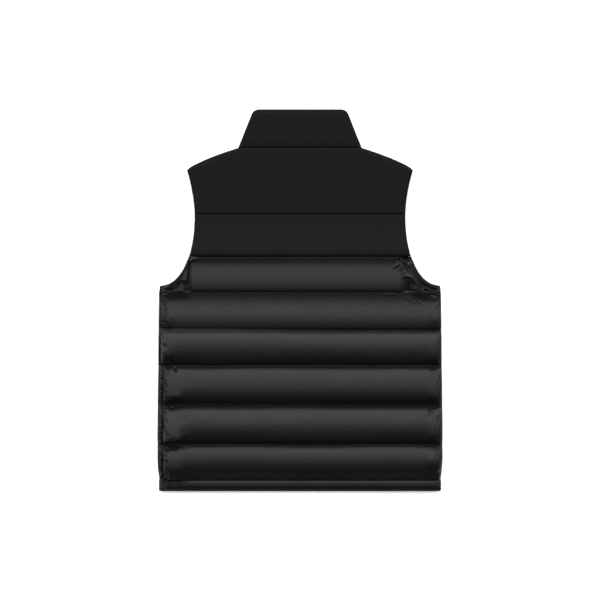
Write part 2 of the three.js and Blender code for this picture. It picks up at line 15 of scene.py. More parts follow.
import bpy
import numpy as np
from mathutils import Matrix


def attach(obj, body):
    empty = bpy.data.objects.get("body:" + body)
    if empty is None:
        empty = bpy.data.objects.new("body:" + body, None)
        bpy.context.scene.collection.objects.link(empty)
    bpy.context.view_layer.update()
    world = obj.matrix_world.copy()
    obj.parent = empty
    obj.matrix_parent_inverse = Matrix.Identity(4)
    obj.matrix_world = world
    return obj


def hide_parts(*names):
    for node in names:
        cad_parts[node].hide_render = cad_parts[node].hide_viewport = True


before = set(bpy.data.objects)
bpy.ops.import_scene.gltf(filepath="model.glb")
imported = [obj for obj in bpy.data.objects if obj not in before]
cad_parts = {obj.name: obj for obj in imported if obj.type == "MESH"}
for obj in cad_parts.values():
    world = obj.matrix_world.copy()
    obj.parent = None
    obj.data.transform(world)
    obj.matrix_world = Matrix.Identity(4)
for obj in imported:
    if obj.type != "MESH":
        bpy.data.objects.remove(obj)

Array = np.ndarray
log = logging.getLogger("vest")
# What a node's inputs take, by name or number
Inputs = dict[str | int, object]

VEST_BODY = "vest"
MM = 0.001


class Side(Enum):
    """Which half of the vest a piece belongs to, as its sign along X."""

    LEFT = -1
    RIGHT = 1


class Slot(Enum):
    """The record's material slots that the pieces made here carry."""

    MATTE = "matte_cloth"
    GLOSSY = "glossy_cloth"
    TAPE = "zip_tape"


# Plain geometry


def edge_rise(distance: Array, round_size: float) -> Array:
    """Height of a rounded edge.

    Args:
        distance: how far in from the edge each point is.
        round_size: where the edge reaches its full height.

    Returns:
        0 at the edge, rising as a quarter circle to 1.
    """
    inside = 1 - np.clip(distance / round_size, 0, 1)
    return np.sqrt(1 - inside**2)


def soft_rise(distance: Array, round_size: float) -> Array:
    """Height of an edge that starts with a plain slope, 0 at the edge and 1 at its full height."""
    inside = 1 - np.clip(distance / round_size, 0, 1)
    return 1 - inside**2


def smooth_step(value: Array, low: float, high: float) -> Array:
    """A soft step from 0 at low to 1 at high."""
    share = np.clip((value - low) / (high - low), 0, 1)
    return share * share * (3 - 2 * share)


def bell(away: Array, width: Array | float) -> Array:
    """A bell curve, 1 where away is 0 and about a third at the width."""
    return np.exp(-((away / width) ** 2))


def points_of(x: Array, y: Array, z: Array) -> Array:
    """Points from their x, y and z, each spread over one shape."""
    return np.stack(np.broadcast_arrays(x, y, z), -1)


def bezier(points: Sequence[tuple[float, float]], count: int) -> Array:
    """Points along a cubic curve.

    Args:
        points: its four control points.
        count: how many points to take.

    Returns:
        An array of count rows with x and y.
    """
    share = np.linspace(0, 1, count)[:, None]
    rest = 1 - share
    a, b, c, d = (np.array(point) for point in points)
    return a * rest**3 + 3 * b * rest**2 * share + 3 * c * rest * share**2 + d * share**3


def distance_to_path(path: Array, x: Array, y: Array) -> tuple[Array, Array]:
    """Nearest distance from points to an open path.

    Args:
        path: the path's points, one row each.
        x: the points' x.
        y: the points' y.

    Returns:
        The distance to the path, and how far along it the nearest place is, from 0 to 1.
    """
    nearest = np.full(x.shape, np.inf)
    place = np.zeros(x.shape)
    pieces = len(path) - 1
    for number, (start, end) in enumerate(zip(path[:-1], path[1:])):
        along = end - start
        share = ((x - start[0]) * along[0] + (y - start[1]) * along[1]) / max(float(along @ along), 1e-12)
        share = np.clip(share, 0, 1)
        away = np.hypot(x - start[0] - along[0] * share, y - start[1] - along[1] * share)
        closer = away < nearest
        nearest = np.where(closer, away, nearest)
        place = np.where(closer, (number + share) / pieces, place)
    return nearest, place


def crowded(start: float, end: float, steps: tuple[float, float], reach: float) -> Array:
    """Places from start to end, close together near both ends.

    Args:
        start: first place.
        end: last place.
        steps: the spacing at the ends and in the middle.
        reach: how far the close spacing goes in from each end.

    Returns:
        The places, in order.
    """
    fine, coarse = steps
    count = max(2, round(reach / fine))
    near = np.linspace(0, reach, count + 1)
    middle = end - start - 2 * reach
    between = np.linspace(reach, reach + middle, max(2, round(middle / coarse)) + 1)
    return start + np.concatenate([near[:-1], between[:-1], end - start - near[::-1]])


def make_mesh(name: str, vertices: Array, faces: Array) -> bpy.types.Object:
    """Makes a smooth mesh object.

    Args:
        name: the object's name.
        vertices: one row of x, y and z for each vertex.
        faces: one row of four vertex numbers for each face.

    Returns:
        The new object, linked to the scene.
    """
    mesh = bpy.data.meshes.new(name)
    mesh.vertices.add(len(vertices))
    mesh.vertices.foreach_set("co", vertices.astype(np.float32).ravel())
    mesh.loops.add(faces.size)
    mesh.loops.foreach_set("vertex_index", faces.astype(np.int32).ravel())
    mesh.polygons.add(len(faces))
    mesh.polygons.foreach_set("loop_start", np.arange(0, faces.size, 4, dtype=np.int32))
    mesh.polygons.foreach_set("use_smooth", np.ones(len(faces), dtype=bool))
    mesh.update(calc_edges=True)
    mesh.validate()
    made = bpy.data.objects.new(name, mesh)
    bpy.context.scene.collection.objects.link(made)
    return made


def wall_parts(outer: Array, inner: Array) -> tuple[Array, Array]:
    """Works out a closed wall between two grids of points of one shape.

    Args:
        outer: the outer side's points, rows by columns by 3.
        inner: the inner side's points, in the same order.

    Returns:
        Its vertices, and its four-cornered faces, which point out.
    """
    count = outer.shape[0] * outer.shape[1]
    number = np.arange(count).reshape(outer.shape[:2])
    other = number + count
    ring = np.concatenate([number[0, :-1], number[:-1, -1], number[-1, :0:-1], number[:0:-1, 0]])
    after = np.roll(ring, -1)
    front = np.stack([number[:-1, :-1], number[:-1, 1:], number[1:, 1:], number[1:, :-1]], -1)
    back = np.stack([other[:-1, :-1], other[1:, :-1], other[1:, 1:], other[:-1, 1:]], -1)
    rim = np.stack([ring, ring + count, after + count, after], -1)
    faces = np.concatenate([front.reshape(-1, 4), back.reshape(-1, 4), rim])
    vertices = np.concatenate([outer.reshape(-1, 3), inner.reshape(-1, 3)])
    a, b, c, d = (vertices[faces[:, corner]] for corner in range(4))
    volume = (a * np.cross(b, c)).sum() + (a * np.cross(c, d)).sum()
    return vertices, faces if volume >= 0 else faces[:, ::-1]


def join_parts(parts: Sequence[tuple[Array, Array]]) -> tuple[Array, Array]:
    """Joins parts of a mesh into one.

    Args:
        parts: the vertices and the faces of each.

    Returns:
        All the vertices, and all the faces with their numbers moved to match.
    """
    starts = np.cumsum([0] + [len(vertices) for vertices, _ in parts])
    faces = [part + start for (_, part), start in zip(parts, starts)]
    return np.concatenate([vertices for vertices, _ in parts]), np.concatenate(faces)


def ring_sides(rings: int, corners: int) -> list[tuple[int, int, int, int]]:
    """Faces that join rings of vertices, ring after ring.

    Args:
        rings: how many rings there are.
        corners: how many vertices each has.

    Returns:
        The vertex numbers of each face.
    """
    return [
        (corners * ring + corner, corners * ring + (corner + 1) % corners,
         corners * (ring + 1) + (corner + 1) % corners, corners * (ring + 1) + corner)
        for ring in range(rings - 1) for corner in range(corners)
    ]


# The vest's cut

# Samples along a channel's slopes
SLOPE_SAMPLES = 381
# How far out on the left the crests begin to slide down and have done so, and the same for the swelling
LEFT_SLIDE = (0.222, 0.246)
LEFT_SWELL = (0.228, 0.246)


@dataclass(frozen=True)
class Channel:
    """One filled channel between two lines of stitching.

    crest is where it is highest, 0 at its top and 1 at its bottom. rise and fall shape the way up to
    the crest and down from it: below 1 the side is full and steep at its seam, above 1 it is hollow.
    droop is how far its crest hangs down, lip how far its lower edge laps the seam. left_crest and
    left_loft are its crest and its swelling at its left end, where the filling has slid down. A channel
    with slopes takes its outer side from them instead: pairs of millimetres down from its top and
    degrees, from a start height.
    """

    top: float
    bottom: float
    loft: float
    crest: float
    rise: float
    fall: float
    droop: float = 0.001
    lip: float = 0.0
    left_crest: float | None = None
    left_loft: float = 1.0
    start: float = 0.0
    slopes: tuple[tuple[float, float], ...] = ()

    @property
    def height(self) -> float:
        """Distance between its two lines of stitching."""
        return self.top - self.bottom

    def sloped_top(self, y: Array) -> Array:
        """Height of the channel's outer side, from its slopes.

        Args:
            y: the points' y.

        Returns:
            The height over the floor.
        """
        places = np.linspace(0, self.height, SLOPE_SAMPLES)
        reach, degrees = np.array(self.slopes).T
        slope = np.tan(np.radians(np.interp(places, reach * MM, degrees)))
        height = np.concatenate([[0], np.cumsum((slope[1:] + slope[:-1]) / 2 * np.diff(places))])
        return self.start + np.interp(self.top - y, places, height)

    def crest_at(self, x: Array, y: Array) -> Array:
        """Where the channel is highest, at each place on the back.

        Args:
            x: the points' x.
            y: the points' y.

        Returns:
            The crest's share of the way down.
        """
        if self.left_crest is None:
            return np.full(np.shape(x), self.crest)
        ragged = -x + 0.004 * slow_wave(y, 3, 0.022)
        return self.crest + (self.left_crest - self.crest) * smooth_step(ragged, *LEFT_SLIDE)

    def dome(self, share: Array, crest: Array) -> Array:
        """Cross section of the filled channel.

        Args:
            share: how far down the channel the points are, 0 to 1.
            crest: where it is highest there.

        Returns:
            0 at both seams and 1 at the crest.
        """
        up = np.sin(math.pi / 2 * np.clip(share / crest, 0, 1)) ** self.rise
        fall = self.fall + 2 * (crest - self.crest)
        down = np.cos(math.pi / 2 * np.clip((share - crest) / (1 - crest), 0, 1)) ** fall
        return np.where(share < crest, up, down)

    def hang(self, share: Array, crest: Array) -> Array:
        """How far down the channel's outer side hangs, with a lip over the seam below it.

        Args:
            share: how far down the channel the points are, 0 to 1.
            crest: where it is highest there.

        Returns:
            The distance along -Y.
        """
        above = (1 - share) * self.height
        lip = self.lip * (1 - np.exp(-above / 0.0007)) * bell(above, 0.009)
        dome = self.dome(share, crest)
        return self.droop * np.where(share > crest, dome**0.4, dome) + lip

    def loft_at(self, x: Array) -> Array:
        """Height of the filling, at each place across the back."""
        return self.loft * (1 + (self.left_loft - 1) * smooth_step(-x, *LEFT_SWELL))


@dataclass(frozen=True)
class Pinch:
    """A seam that pulls the layers down by its depth, over a reach above it and below it."""

    level: float
    depth: float
    above: float
    below: float

    def drop(self, y: Array) -> Array:
        """How far the layers are pulled down at each level."""
        away = y - self.level
        return self.depth * bell(away, np.where(away > 0, self.above, self.below))


@dataclass
class Pattern:
    """The vest's cut laid flat: its levels, its outline and the height at which its layers meet."""

    hem_edge: float = -0.3817
    hem_seam: float = -0.3557
    underarm: float = 0.0290
    yoke_seam: float = 0.0873
    stitch_line: float = 0.1713
    shoulder: float = 0.2600
    collar_seam: float = 0.3043
    top: float = 0.3817
    collar_base_half: float = 0.1238
    centre_gap: float = 0.0083
    seam_gap: float = 0.0003
    layer_gap: float = 0.0004
    seam_thickness: float = 0.0032
    zip_edge_thickness: float = 0.0045
    zip_round: float = 0.024
    edge_trim: float = 0.0006
    neck_drop: float = 0.080
    front_scoop: float = 0.012
    scoop_start: float = 0.040
    scoop_height: float = 0.215
    side_seam_inset: float = 0.0095
    upper_inset_loss: float = 0.62
    inset_ramp: tuple[float, float] = (-0.140, -0.118)
    thin_rest: float = 0.00835
    body_rest: float = 0.022
    yoke_ramp: tuple[float, float] = (0.015, 0.130)
    hem_ramp: tuple[float, float] = (-0.356, -0.276)
    channels: tuple[Channel, ...] = (
        Channel(0.0873, 0.0193, 0.0130, 0.52, 1.00, 0.46, droop=0.0040, lip=0.0030, start=0.0294, slopes=(
            (0, -20), (7, -20), (11, -13), (15, 1), (19, 8), (23, 12), (31, 11), (39, 8), (47, 2), (55, -7),
            (61, -18), (64, -34), (68, -60))),
        Channel(0.0193, -0.0567, 0.0150, 0.68, 1.20, 0.56, droop=0.0010, lip=0.0030, start=0.0248, slopes=(
            (0, -10), (3, -16), (9, -16), (15, -9), (21, 0), (27, 10), (35, 16), (43, 15), (51, 8), (57, 0),
            (63, -10), (69, -22), (73, -33), (76, -52))),
        Channel(-0.0567, -0.1307, 0.0170, 0.45, 0.62, 0.80, droop=0.0025),
        Channel(-0.1307, -0.2087, 0.0174, 0.52, 0.64, 0.78, droop=0.0036, left_crest=0.70, left_loft=1.15),
        Channel(-0.2087, -0.2887, 0.0180, 0.49, 0.88, 0.76, droop=0.0025, left_crest=0.78, left_loft=1.35),
        Channel(-0.2887, -0.3557, 0.0160, 0.54, 0.90, 0.60, droop=0.0030, lip=0.0078, left_crest=0.64,
                left_loft=1.28),
    )
    pinches: tuple[Pinch, ...] = (
        Pinch(0.0193, 0.0110, 0.013, 0.046),
        Pinch(-0.0567, 0.0050, 0.005, 0.009),
        Pinch(-0.1307, 0.0022, 0.005, 0.008),
        Pinch(-0.2087, 0.0025, 0.005, 0.010),
        Pinch(-0.2887, 0.0025, 0.005, 0.010),
    )
    outline: Array = field(init=False)
    armhole: Array = field(init=False)
    sides: Array = field(init=False)
    back_rim: Array = field(init=False)
    front_rim: Array = field(init=False)

    def __post_init__(self) -> None:
        """Works out the half outline from the hem up to the top of the collar."""
        base = (self.collar_base_half, self.collar_seam)
        tip = (0.2264, self.shoulder)
        narrowest = (0.2110, 0.1663)
        shoulder = bezier([base, (0.1524, 0.2968), (0.2194, 0.2715), tip], 60)
        upper = bezier([tip, (0.2174, 0.2317), (0.2110, 0.1966), narrowest], 60)
        lower = bezier([narrowest, (0.2110, 0.1017), (0.2314, self.underarm), (0.2800, self.underarm)], 160)
        sides = np.array([
            (0.2818, 0.0150), (0.2828, -0.1300), (0.2840, -0.2100), (0.2846, -0.3180),
            (0.2840, -0.3360), (0.2816, self.hem_seam), (0.2826, -0.3640), (0.2826, self.hem_edge),
        ])
        collar = self.rounded_end(np.array([(0.0930, self.top), base]), 0.009)
        down = np.concatenate([collar, shoulder[1:], upper[1:], lower[1:], sides[:-1]])
        hem = self.rounded_end(sides[::-1][:2], 0.004)[::-1]
        self.outline = np.concatenate([down, hem])[::-1]
        levels = self.outline[:, 1]
        self.armhole = self.outline[(levels < self.shoulder + 0.0005) & (levels > self.underarm - 0.0001)]
        self.sides = self.outline[levels < self.underarm + 0.0005]
        self.back_rim = self.outline[levels < self.collar_seam]
        self.front_rim = self.back_rim.copy()
        self.front_rim[:, 0] = self.front_half_width(self.back_rim[:, 1])

    @staticmethod
    def rounded_end(line: Array, radius: float) -> Array:
        """A straight side whose first end is rounded in towards the middle.

        Args:
            line: two points, the end that is rounded first.
            radius: the corner's radius.

        Returns:
            Points from the rounded end to the other end.
        """
        below = radius * (1 - np.cos(np.linspace(0, math.pi / 2, 10)))
        inside = radius - below
        loss = radius - np.sqrt(np.maximum(radius**2 - inside**2, 0))
        step = np.sign(line[1, 1] - line[0, 1])
        levels = line[0, 1] + step * below
        halves = np.interp(step * levels, step * line[:, 1], line[:, 0]) - loss
        return np.concatenate([np.stack([halves, levels], -1), line[1:]])

    def half_width(self, y: Array) -> Array:
        """Half the width of the outline at each level."""
        return np.interp(y, self.outline[:, 1], self.outline[:, 0])

    def front_half_width(self, y: Array) -> Array:
        """Half the width of the front, which is cut deeper than the back round each arm."""
        share = np.clip((y - self.scoop_start) / self.scoop_height, 0, 1)
        return self.half_width(y) - self.front_scoop * np.sin(math.pi * share) ** 2

    def rest_height(self, y: Array) -> Array:
        """Height at which the back lies on the front.

        Args:
            y: the points' y.

        Returns:
            The height in the middle of the gap between the layers.
        """
        thin = np.maximum(smooth_step(y, *self.yoke_ramp), 1 - smooth_step(y, *self.hem_ramp))
        pulled = sum(pinch.drop(y) for pinch in self.pinches)
        return self.body_rest + (self.thin_rest - self.body_rest) * thin - pulled

    def back_floor(self, y: Array) -> Array:
        """Height of the back's inner side."""
        return self.rest_height(y) + self.layer_gap / 2

    def front_ceiling(self, y: Array) -> Array:
        """Height of the front's inner side."""
        return self.rest_height(y) - self.layer_gap / 2

    def right_seam(self, y: Array) -> Array:
        """Where the quilted back ends on the right: at the side's edge or on the armhole's."""
        return np.minimum(self.half_width(y), self.half_width(np.minimum(y, self.underarm)))

    def left_seam(self, y: Array) -> Array:
        """Where the left side seam lies: in from the side's edge, less beside the upper channels.

        Args:
            y: the points' y.

        Returns:
            Its distance from the middle.
        """
        inset = self.side_seam_inset * (1 - self.upper_inset_loss * smooth_step(y, *self.inset_ramp))
        stray = 0.0009 * slow_wave(y, 5, 0.030) * (inset / self.side_seam_inset) ** 2
        return np.minimum(self.half_width(y), self.half_width(np.minimum(y, self.underarm)) - inset + stray)

    def zip_side(self, x: Array) -> tuple[Array, Array]:
        """How a front starts beside the zip.

        Args:
            x: distance of the points from the middle.

        Returns:
            How full it is, 0 to 1, and the thickness of its edges.
        """
        full = edge_rise(x - self.centre_gap, self.zip_round)
        return full, self.zip_edge_thickness + (self.seam_thickness - self.zip_edge_thickness) * full

    def neck_level(self, share: Array) -> Array:
        """Level of the front neckline at a share of its half width."""
        return self.collar_seam - self.neck_drop * (1 - share**2)

    def neck_half(self) -> float:
        """Half width of the front neckline, up to the collar's side folds."""
        return self.collar_base_half - self.layer_gap / 2 - self.seam_thickness


PATTERN = Pattern()


# Folds and gathers


@dataclass(frozen=True)
class Crease:
    """A given fold: a path in x and y, a height (negative for a trough) and a half width."""

    path: tuple[tuple[float, float], ...]
    height: float
    width: float

    def relief(self, x: Array, y: Array) -> Array:
        """Height that the fold adds, fading out at both its ends.

        Args:
            x: the points' x.
            y: the points' y.

        Returns:
            The height at each point.
        """
        points = np.array(self.path) * MM
        reach = 3 * self.width * MM
        low, high = points.min(0) - reach, points.max(0) + reach
        near = (x > low[0]) & (x < high[0]) & (y > low[1]) & (y < high[1])
        relief = np.zeros(x.shape)
        if near.any():
            away, place = distance_to_path(points, x[near], y[near])
            fade = np.clip(4 * place * (1 - place), 0, 1) ** 0.5 * 0.7 + 0.3
            relief[near] = self.height * MM * fade * bell(away, self.width * MM)
        return relief


@dataclass(frozen=True)
class Bulge:
    """A given soft swelling: its crest, height, reach across and reach above and below."""

    crest: tuple[float, float]
    height: float
    across: float
    above: float
    below: float

    def relief(self, x: Array, y: Array) -> Array:
        """Height that the swelling adds.

        Args:
            x: the points' x.
            y: the points' y.

        Returns:
            The height at each point.
        """
        off_x = (x / MM - self.crest[0]) / self.across
        off_y = y / MM - self.crest[1]
        off_y = off_y / np.where(off_y > 0, self.above, self.below)
        return self.height * MM * np.exp(-(off_x**2) - off_y**2)


@dataclass(frozen=True)
class Facet:
    """A given taut flat face of cloth: its three corners, the height at each and its softness."""

    corners: tuple[tuple[float, float], ...]
    heights: tuple[float, float, float]
    soft: float = 1.6

    def relief(self, x: Array, y: Array) -> Array:
        """Height that the face adds.

        Args:
            x: the points' x.
            y: the points' y.

        Returns:
            The height at each point.
        """
        (ax, ay), (bx, by), (cx, cy) = self.corners
        x, y = x / MM, y / MM
        twice = (by - cy) * (ax - cx) + (cx - bx) * (ay - cy)
        first = ((by - cy) * (x - cx) + (cx - bx) * (y - cy)) / twice
        second = ((cy - ay) * (x - cx) + (ax - cx) * (y - cy)) / twice
        shares = (first, second, 1 - first - second)
        inside = np.ones(x.shape)
        for share, start, end in zip(shares, (1, 2, 0), (2, 0, 1)):
            (sx, sy), (ex, ey) = self.corners[start], self.corners[end]
            depth = share * abs(twice) / math.hypot(ex - sx, ey - sy)
            inside = np.minimum(inside, smooth_step(depth, -self.soft / 2, self.soft / 2))
        height = sum(np.clip(share, -0.2, 1.2) * value for share, value in zip(shares, self.heights))
        return height * MM * inside


@dataclass
class Gathers:
    """Small gathers that stitching pulls into the cloth, as short ridges that run off a seam."""

    seed: int
    pitch: float
    length: float
    height: Callable[[Array], Array] | float

    def relief(self, along: Array, away: Array, start: float, end: float) -> Array:
        """Height of the gathers at points near a seam.

        Args:
            along: place of each point along the seam.
            away: its distance from the seam.
            start: where the seam begins.
            end: where it ends.

        Returns:
            The height that the gathers add.
        """
        rng = np.random.default_rng(self.seed)
        places = np.arange(start, end, self.pitch)
        count = len(places)
        places = places + rng.uniform(-0.4, 0.4, count) * self.pitch
        widths = self.pitch * rng.uniform(0.16, 0.34, count)
        lengths = self.length * rng.uniform(0.5, 1.3, count)
        slants = rng.normal(0, 0.25, count)
        heights = self.height(places) if callable(self.height) else self.height
        heights = heights * rng.uniform(0.2, 1.0, count) * rng.choice([1, 1, -0.7], count)
        relief = np.zeros(along.shape)
        near = away < 2.2 * self.length
        s, d = along[near], away[near]
        total = np.zeros(s.shape)
        for place, width, length, slant, height in zip(places, widths, lengths, slants, heights):
            off = s - place - slant * d
            close = np.abs(off) < 3 * width
            total[close] += height * bell(off[close], width) * bell(d[close], length)
        relief[near] = total
        return relief


def slow_wave(x: Array, seed: int, wavelength: float) -> Array:
    """A slow uneven wave, the same for the same seed.

    Args:
        x: the places to take it at.
        seed: which wave it is.
        wavelength: its usual length.

    Returns:
        Values between about -1 and 1.
    """
    rng = np.random.default_rng(seed)
    wave = np.zeros(np.shape(x))
    for _ in range(5):
        wave = wave + np.sin(2 * math.pi * x / (wavelength * rng.uniform(0.6, 1.9)) + rng.uniform(0, 6.3))
    return wave / 5 * 1.4


def soft_relief(x: Array, y: Array, seed: int, wavelength: float) -> Array:
    """A soft uneven surface, made of waves in several directions.

    Args:
        x: the points' x.
        y: the points' y.
        seed: which surface it is.
        wavelength: its waves' usual length.

    Returns:
        Values between about -1 and 1.
    """
    rng = np.random.default_rng(seed)
    wave = np.zeros(np.shape(x))
    for _ in range(7):
        turn = rng.uniform(0, math.pi)
        pace = 2 * math.pi / (wavelength * rng.uniform(0.6, 1.8))
        wave = wave + np.sin(pace * (x * math.cos(turn) + y * math.sin(turn)) + rng.uniform(0, 6.3))
    return wave / 7 * 1.4


# Folds of the back where its sides meet the armholes, in millimetres
LEFT_UNDERARM_FOLDS = (
    Crease(((-220.5, 84), (-221, 50), (-221, 16)), -3.8, 2.2),
    Crease(((-225, 60), (-225, 18)), 3.0, 1.5),
    Facet(((-237.5, 37), (-228.5, 19.5), (-257, 19)), (0, 9, 7.5)),
    Facet(((-225, 63), (-238, 43), (-226, 40)), (0.5, 5.5, 6.5)),
    Crease(((-241, 34), (-252, 20)), -3.0, 2.0),
    Crease(((-247, 33), (-262, 17)), 3.4, 2.0),
    Crease(((-254, 30), (-268, 18)), -2.6, 1.8),
    Facet(((-281, 15), (-279, 25), (-263, 24)), (4.0, 0.0, 3.0)),
    Crease(((-281, 12), (-266, 15)), -2.6, 1.7),
    Crease(((-217, 82), (-204, 82.5)), 2.6, 1.7),
    Crease(((-195, 82.5), (-189, 83.5)), 2.2, 1.6),
    Facet(((-282, 19), (-219, 19), (-219, 2)), (4, 4, 0)),
    Facet(((-282, 19), (-219, 2), (-282, -2)), (4, 0, 0)),
)
RIGHT_UNDERARM_FOLDS = (
    Facet(((210, 79.5), (221, 79.5), (219, 67)), (0, 1, 6)),
    Crease(((206, 81.5), (217, 81.5)), 2.8, 1.5),
    Crease(((188, 68), (200, 76)), 3.6, 2.4),
    Crease(((199, 65), (209, 71)), 3.0, 2.2),
    Crease(((196, 82), (206, 74), (212, 60)), -2.6, 3.0),
    Crease(((204, 48), (212, 52), (221, 50), (229, 41), (236, 30)), 3.6, 2.3),
    Facet(((222, 19), (281, 19), (281, -6)), (4.5, 4.5, 0)),
    Facet(((222, 19), (281, -6), (220, 1)), (4.5, 0, 0)),
    Facet(((208, 45), (223.5, 45), (222, 17)), (0, 0, -4.5)),
    Facet(((208, 45), (222, 17), (208.5, 17)), (0, -4.5, -3.5)),
    Facet(((230, 42), (247, 19.5), (228, 19.5)), (0, 5, 5)),
    Facet(((242, 28), (250, 27), (246, 19.5)), (0, 1, 4.5)),
    Crease(((250, 29), (262, 23), (280, 17)), 3.4, 1.6),
    Crease(((250, 24), (262, 17), (280, 12)), -2.6, 1.8),
    Crease(((216, 5), (228, -5)), 2.6, 1.8),
    Crease(((234, 1), (242, -7)), 2.0, 1.8),
    Crease(((262, 12), (274, 8)), -3.0, 2.4),
    Crease(((170, 11), (190, 11)), 1.2, 1.3),
)
# Creases that run in from the left side seam, and a few at the right end of each channel
LEFT_END_FOLDS = (
    Crease(((-276, 8), (-270, -4), (-266, -18)), 2.4, 2.4),
    Crease(((-274, -4), (-268, -20), (-264, -38)), -2.4, 2.0),
    Crease(((-273, -22), (-267, -34), (-261, -48)), 2.2, 2.2),
    Crease(((-280, -66), (-272, -77)), -2.4, 1.5),
    Crease(((-278, -75), (-267, -85)), 2.2, 2.3),
    Crease(((-280, -82), (-273, -86), (-265, -94)), -2.8, 1.5),
    Crease(((-279, -89), (-268, -100), (-261, -114)), 2.6, 2.4),
    Crease(((-280, -94), (-270, -105), (-257, -124)), -3.2, 1.6),
    Crease(((-272, -100), (-266, -112)), 2.4, 2.2),
    Crease(((-250, -131), (-247, -143)), -3.4, 2.8),
    Crease(((-268, -134), (-262, -146)), 2.6, 3.0),
    Crease(((-271, -158), (-264, -171)), -3.2, 2.0),
    Crease(((-274, -162), (-266, -177)), 3.2, 2.2),
    Crease(((-274, -186), (-264, -194), (-258, -203)), -2.6, 2.2),
    Crease(((-272, -196), (-264, -203)), 2.6, 2.2),
    Crease(((-272, -212), (-262, -216), (-250, -214)), -1.4, 2.0),
    Crease(((-266, -212), (-260, -222)), 2.8, 2.6),
    Crease(((-268, -236), (-264, -246)), -2.4, 2.2),
    Crease(((-274, -262), (-266, -274), (-262, -282)), 3.4, 2.2),
    Crease(((-270, -258), (-262, -270)), -3.2, 2.0),
    Crease(((-270, -294), (-262, -298)), -1.6, 2.0),
    Crease(((-270, -304), (-264, -318)), 2.4, 2.4),
    Crease(((-272, -336), (-268, -350)), 3.0, 2.3),
    Crease(((-268, -334), (-262, -346)), -2.6, 2.0),
    Crease(((-264, -346), (-256, -352)), 2.2, 2.0),
)
END_BULGES = (
    Bulge((-262, -108), 3.0, 14, 20, 8),
    Bulge((-262, -34), 2.0, 16, 18, 10),
    Bulge((267, -36), 3.4, 11, 22, 18),
    Bulge((268, -116), 2.0, 10, 16, 8),
    Bulge((267, -190), 2.2, 10, 16, 8),
    Bulge((266, -270), 2.4, 11, 18, 8),
    Bulge((264, -321), 5.4, 13, 19, 15),
)
RIGHT_END_FOLDS = (
    Crease(((280, -2), (268, -14), (260, -30)), 1.4, 3.2),
    Crease(((281, -64), (272, -74), (268, -90)), 1.2, 2.6),
    Crease(((280, -136), (268, -140), (258, -142)), 1.5, 1.9),
    Crease(((281, -150), (274, -166), (272, -184)), -1.2, 2.4),
    Crease(((280, -215), (266, -219), (254, -222)), 1.7, 1.9),
    Crease(((246, -230), (251, -225)), 1.8, 1.6),
    Crease(((255, -227), (261, -221)), 2.4, 1.6),
    Crease(((261, -222), (270, -227)), -1.8, 1.5),
    Crease(((271, -231), (277, -226)), 2.0, 1.6),
    Crease(((281, -228), (273, -244), (270, -262)), -1.2, 2.4),
    Crease(((281, -296), (270, -304), (262, -318)), 1.5, 2.8),
    Crease(((281, -330), (272, -342)), 1.6, 2.0),
)

BACK_FOLDS = (
    *LEFT_UNDERARM_FOLDS, *RIGHT_UNDERARM_FOLDS, *LEFT_END_FOLDS, *END_BULGES, *RIGHT_END_FOLDS,
)

# Padded panels


@dataclass
class Panel:
    """A padded piece of the vest. A kind of panel works out its points and says how it is filled."""

    name: str
    node: str
    slot: Slot
    fill: float = 0.5
    made: bpy.types.Object | None = None

    def points(self) -> tuple[Array, Array]:
        """The panel's outer and inner points, each rows by columns by 3."""
        raise NotImplementedError

    def build(self) -> None:
        """Makes the panel's mesh and ties it to the frame."""
        self.made = make_mesh(self.name, *wall_parts(*self.points()))
        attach(self.made, VEST_BODY)
        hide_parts(self.node)

    def dress(self, material: bpy.types.Material) -> None:
        """Gives the panel its cloth."""
        self.made.data.materials.append(material)


def section_grid(number: int, across: Array, spacing: tuple[float, float]) -> tuple[Array, Array, Array]:
    """Places on one channel, with its sections close together at the stitching.

    Args:
        number: which channel, from the top. All but the first leave out the section that they share.
        across: the places across, the same at each section.
        spacing: distance between the sections at the stitching and in the middle.

    Returns:
        How far down the channel each point is, its place across and its level.
    """
    channel = PATTERN.channels[number]
    shares = crowded(0.0, channel.height, spacing, 0.010) / channel.height
    share, u = np.meshgrid(shares[min(number, 1):], across, indexing="ij")
    return share, u, channel.top + (channel.bottom - channel.top) * share


def leave_seam_gap(y: Array, number: int) -> None:
    """Moves the quilted part's first and last sections in, off the pieces that they are sewn to.

    Args:
        y: the levels of one channel's sections, which are changed in place.
        number: which channel, from the top.
    """
    if number == 0:
        y[0] -= PATTERN.seam_gap / 2
    if number == len(PATTERN.channels) - 1:
        y[-1] += PATTERN.seam_gap / 2


def seam_drift(number: int, x: Array) -> Array:
    """How far a line of stitching strays from its level across the back.

    Args:
        number: which line, 0 at the yoke.
        x: the points' x.

    Returns:
        The distance along +Y. The first and the last line are straight.
    """
    if number in (0, len(PATTERN.channels)):
        return np.zeros(np.shape(x))
    return 0.0006 * slow_wave(x, 40 + number, 0.25) - (0.0022 * x / 0.28 if number == 2 else 0.0)


def end_height(x: Array) -> Array:
    """Height of the gathers along a channel's seams: slight in the middle, strong at both ends."""
    return 0.00016 + 0.0013 * bell(x + 0.275, 0.030) + 0.0008 * bell(x - 0.272, 0.028)


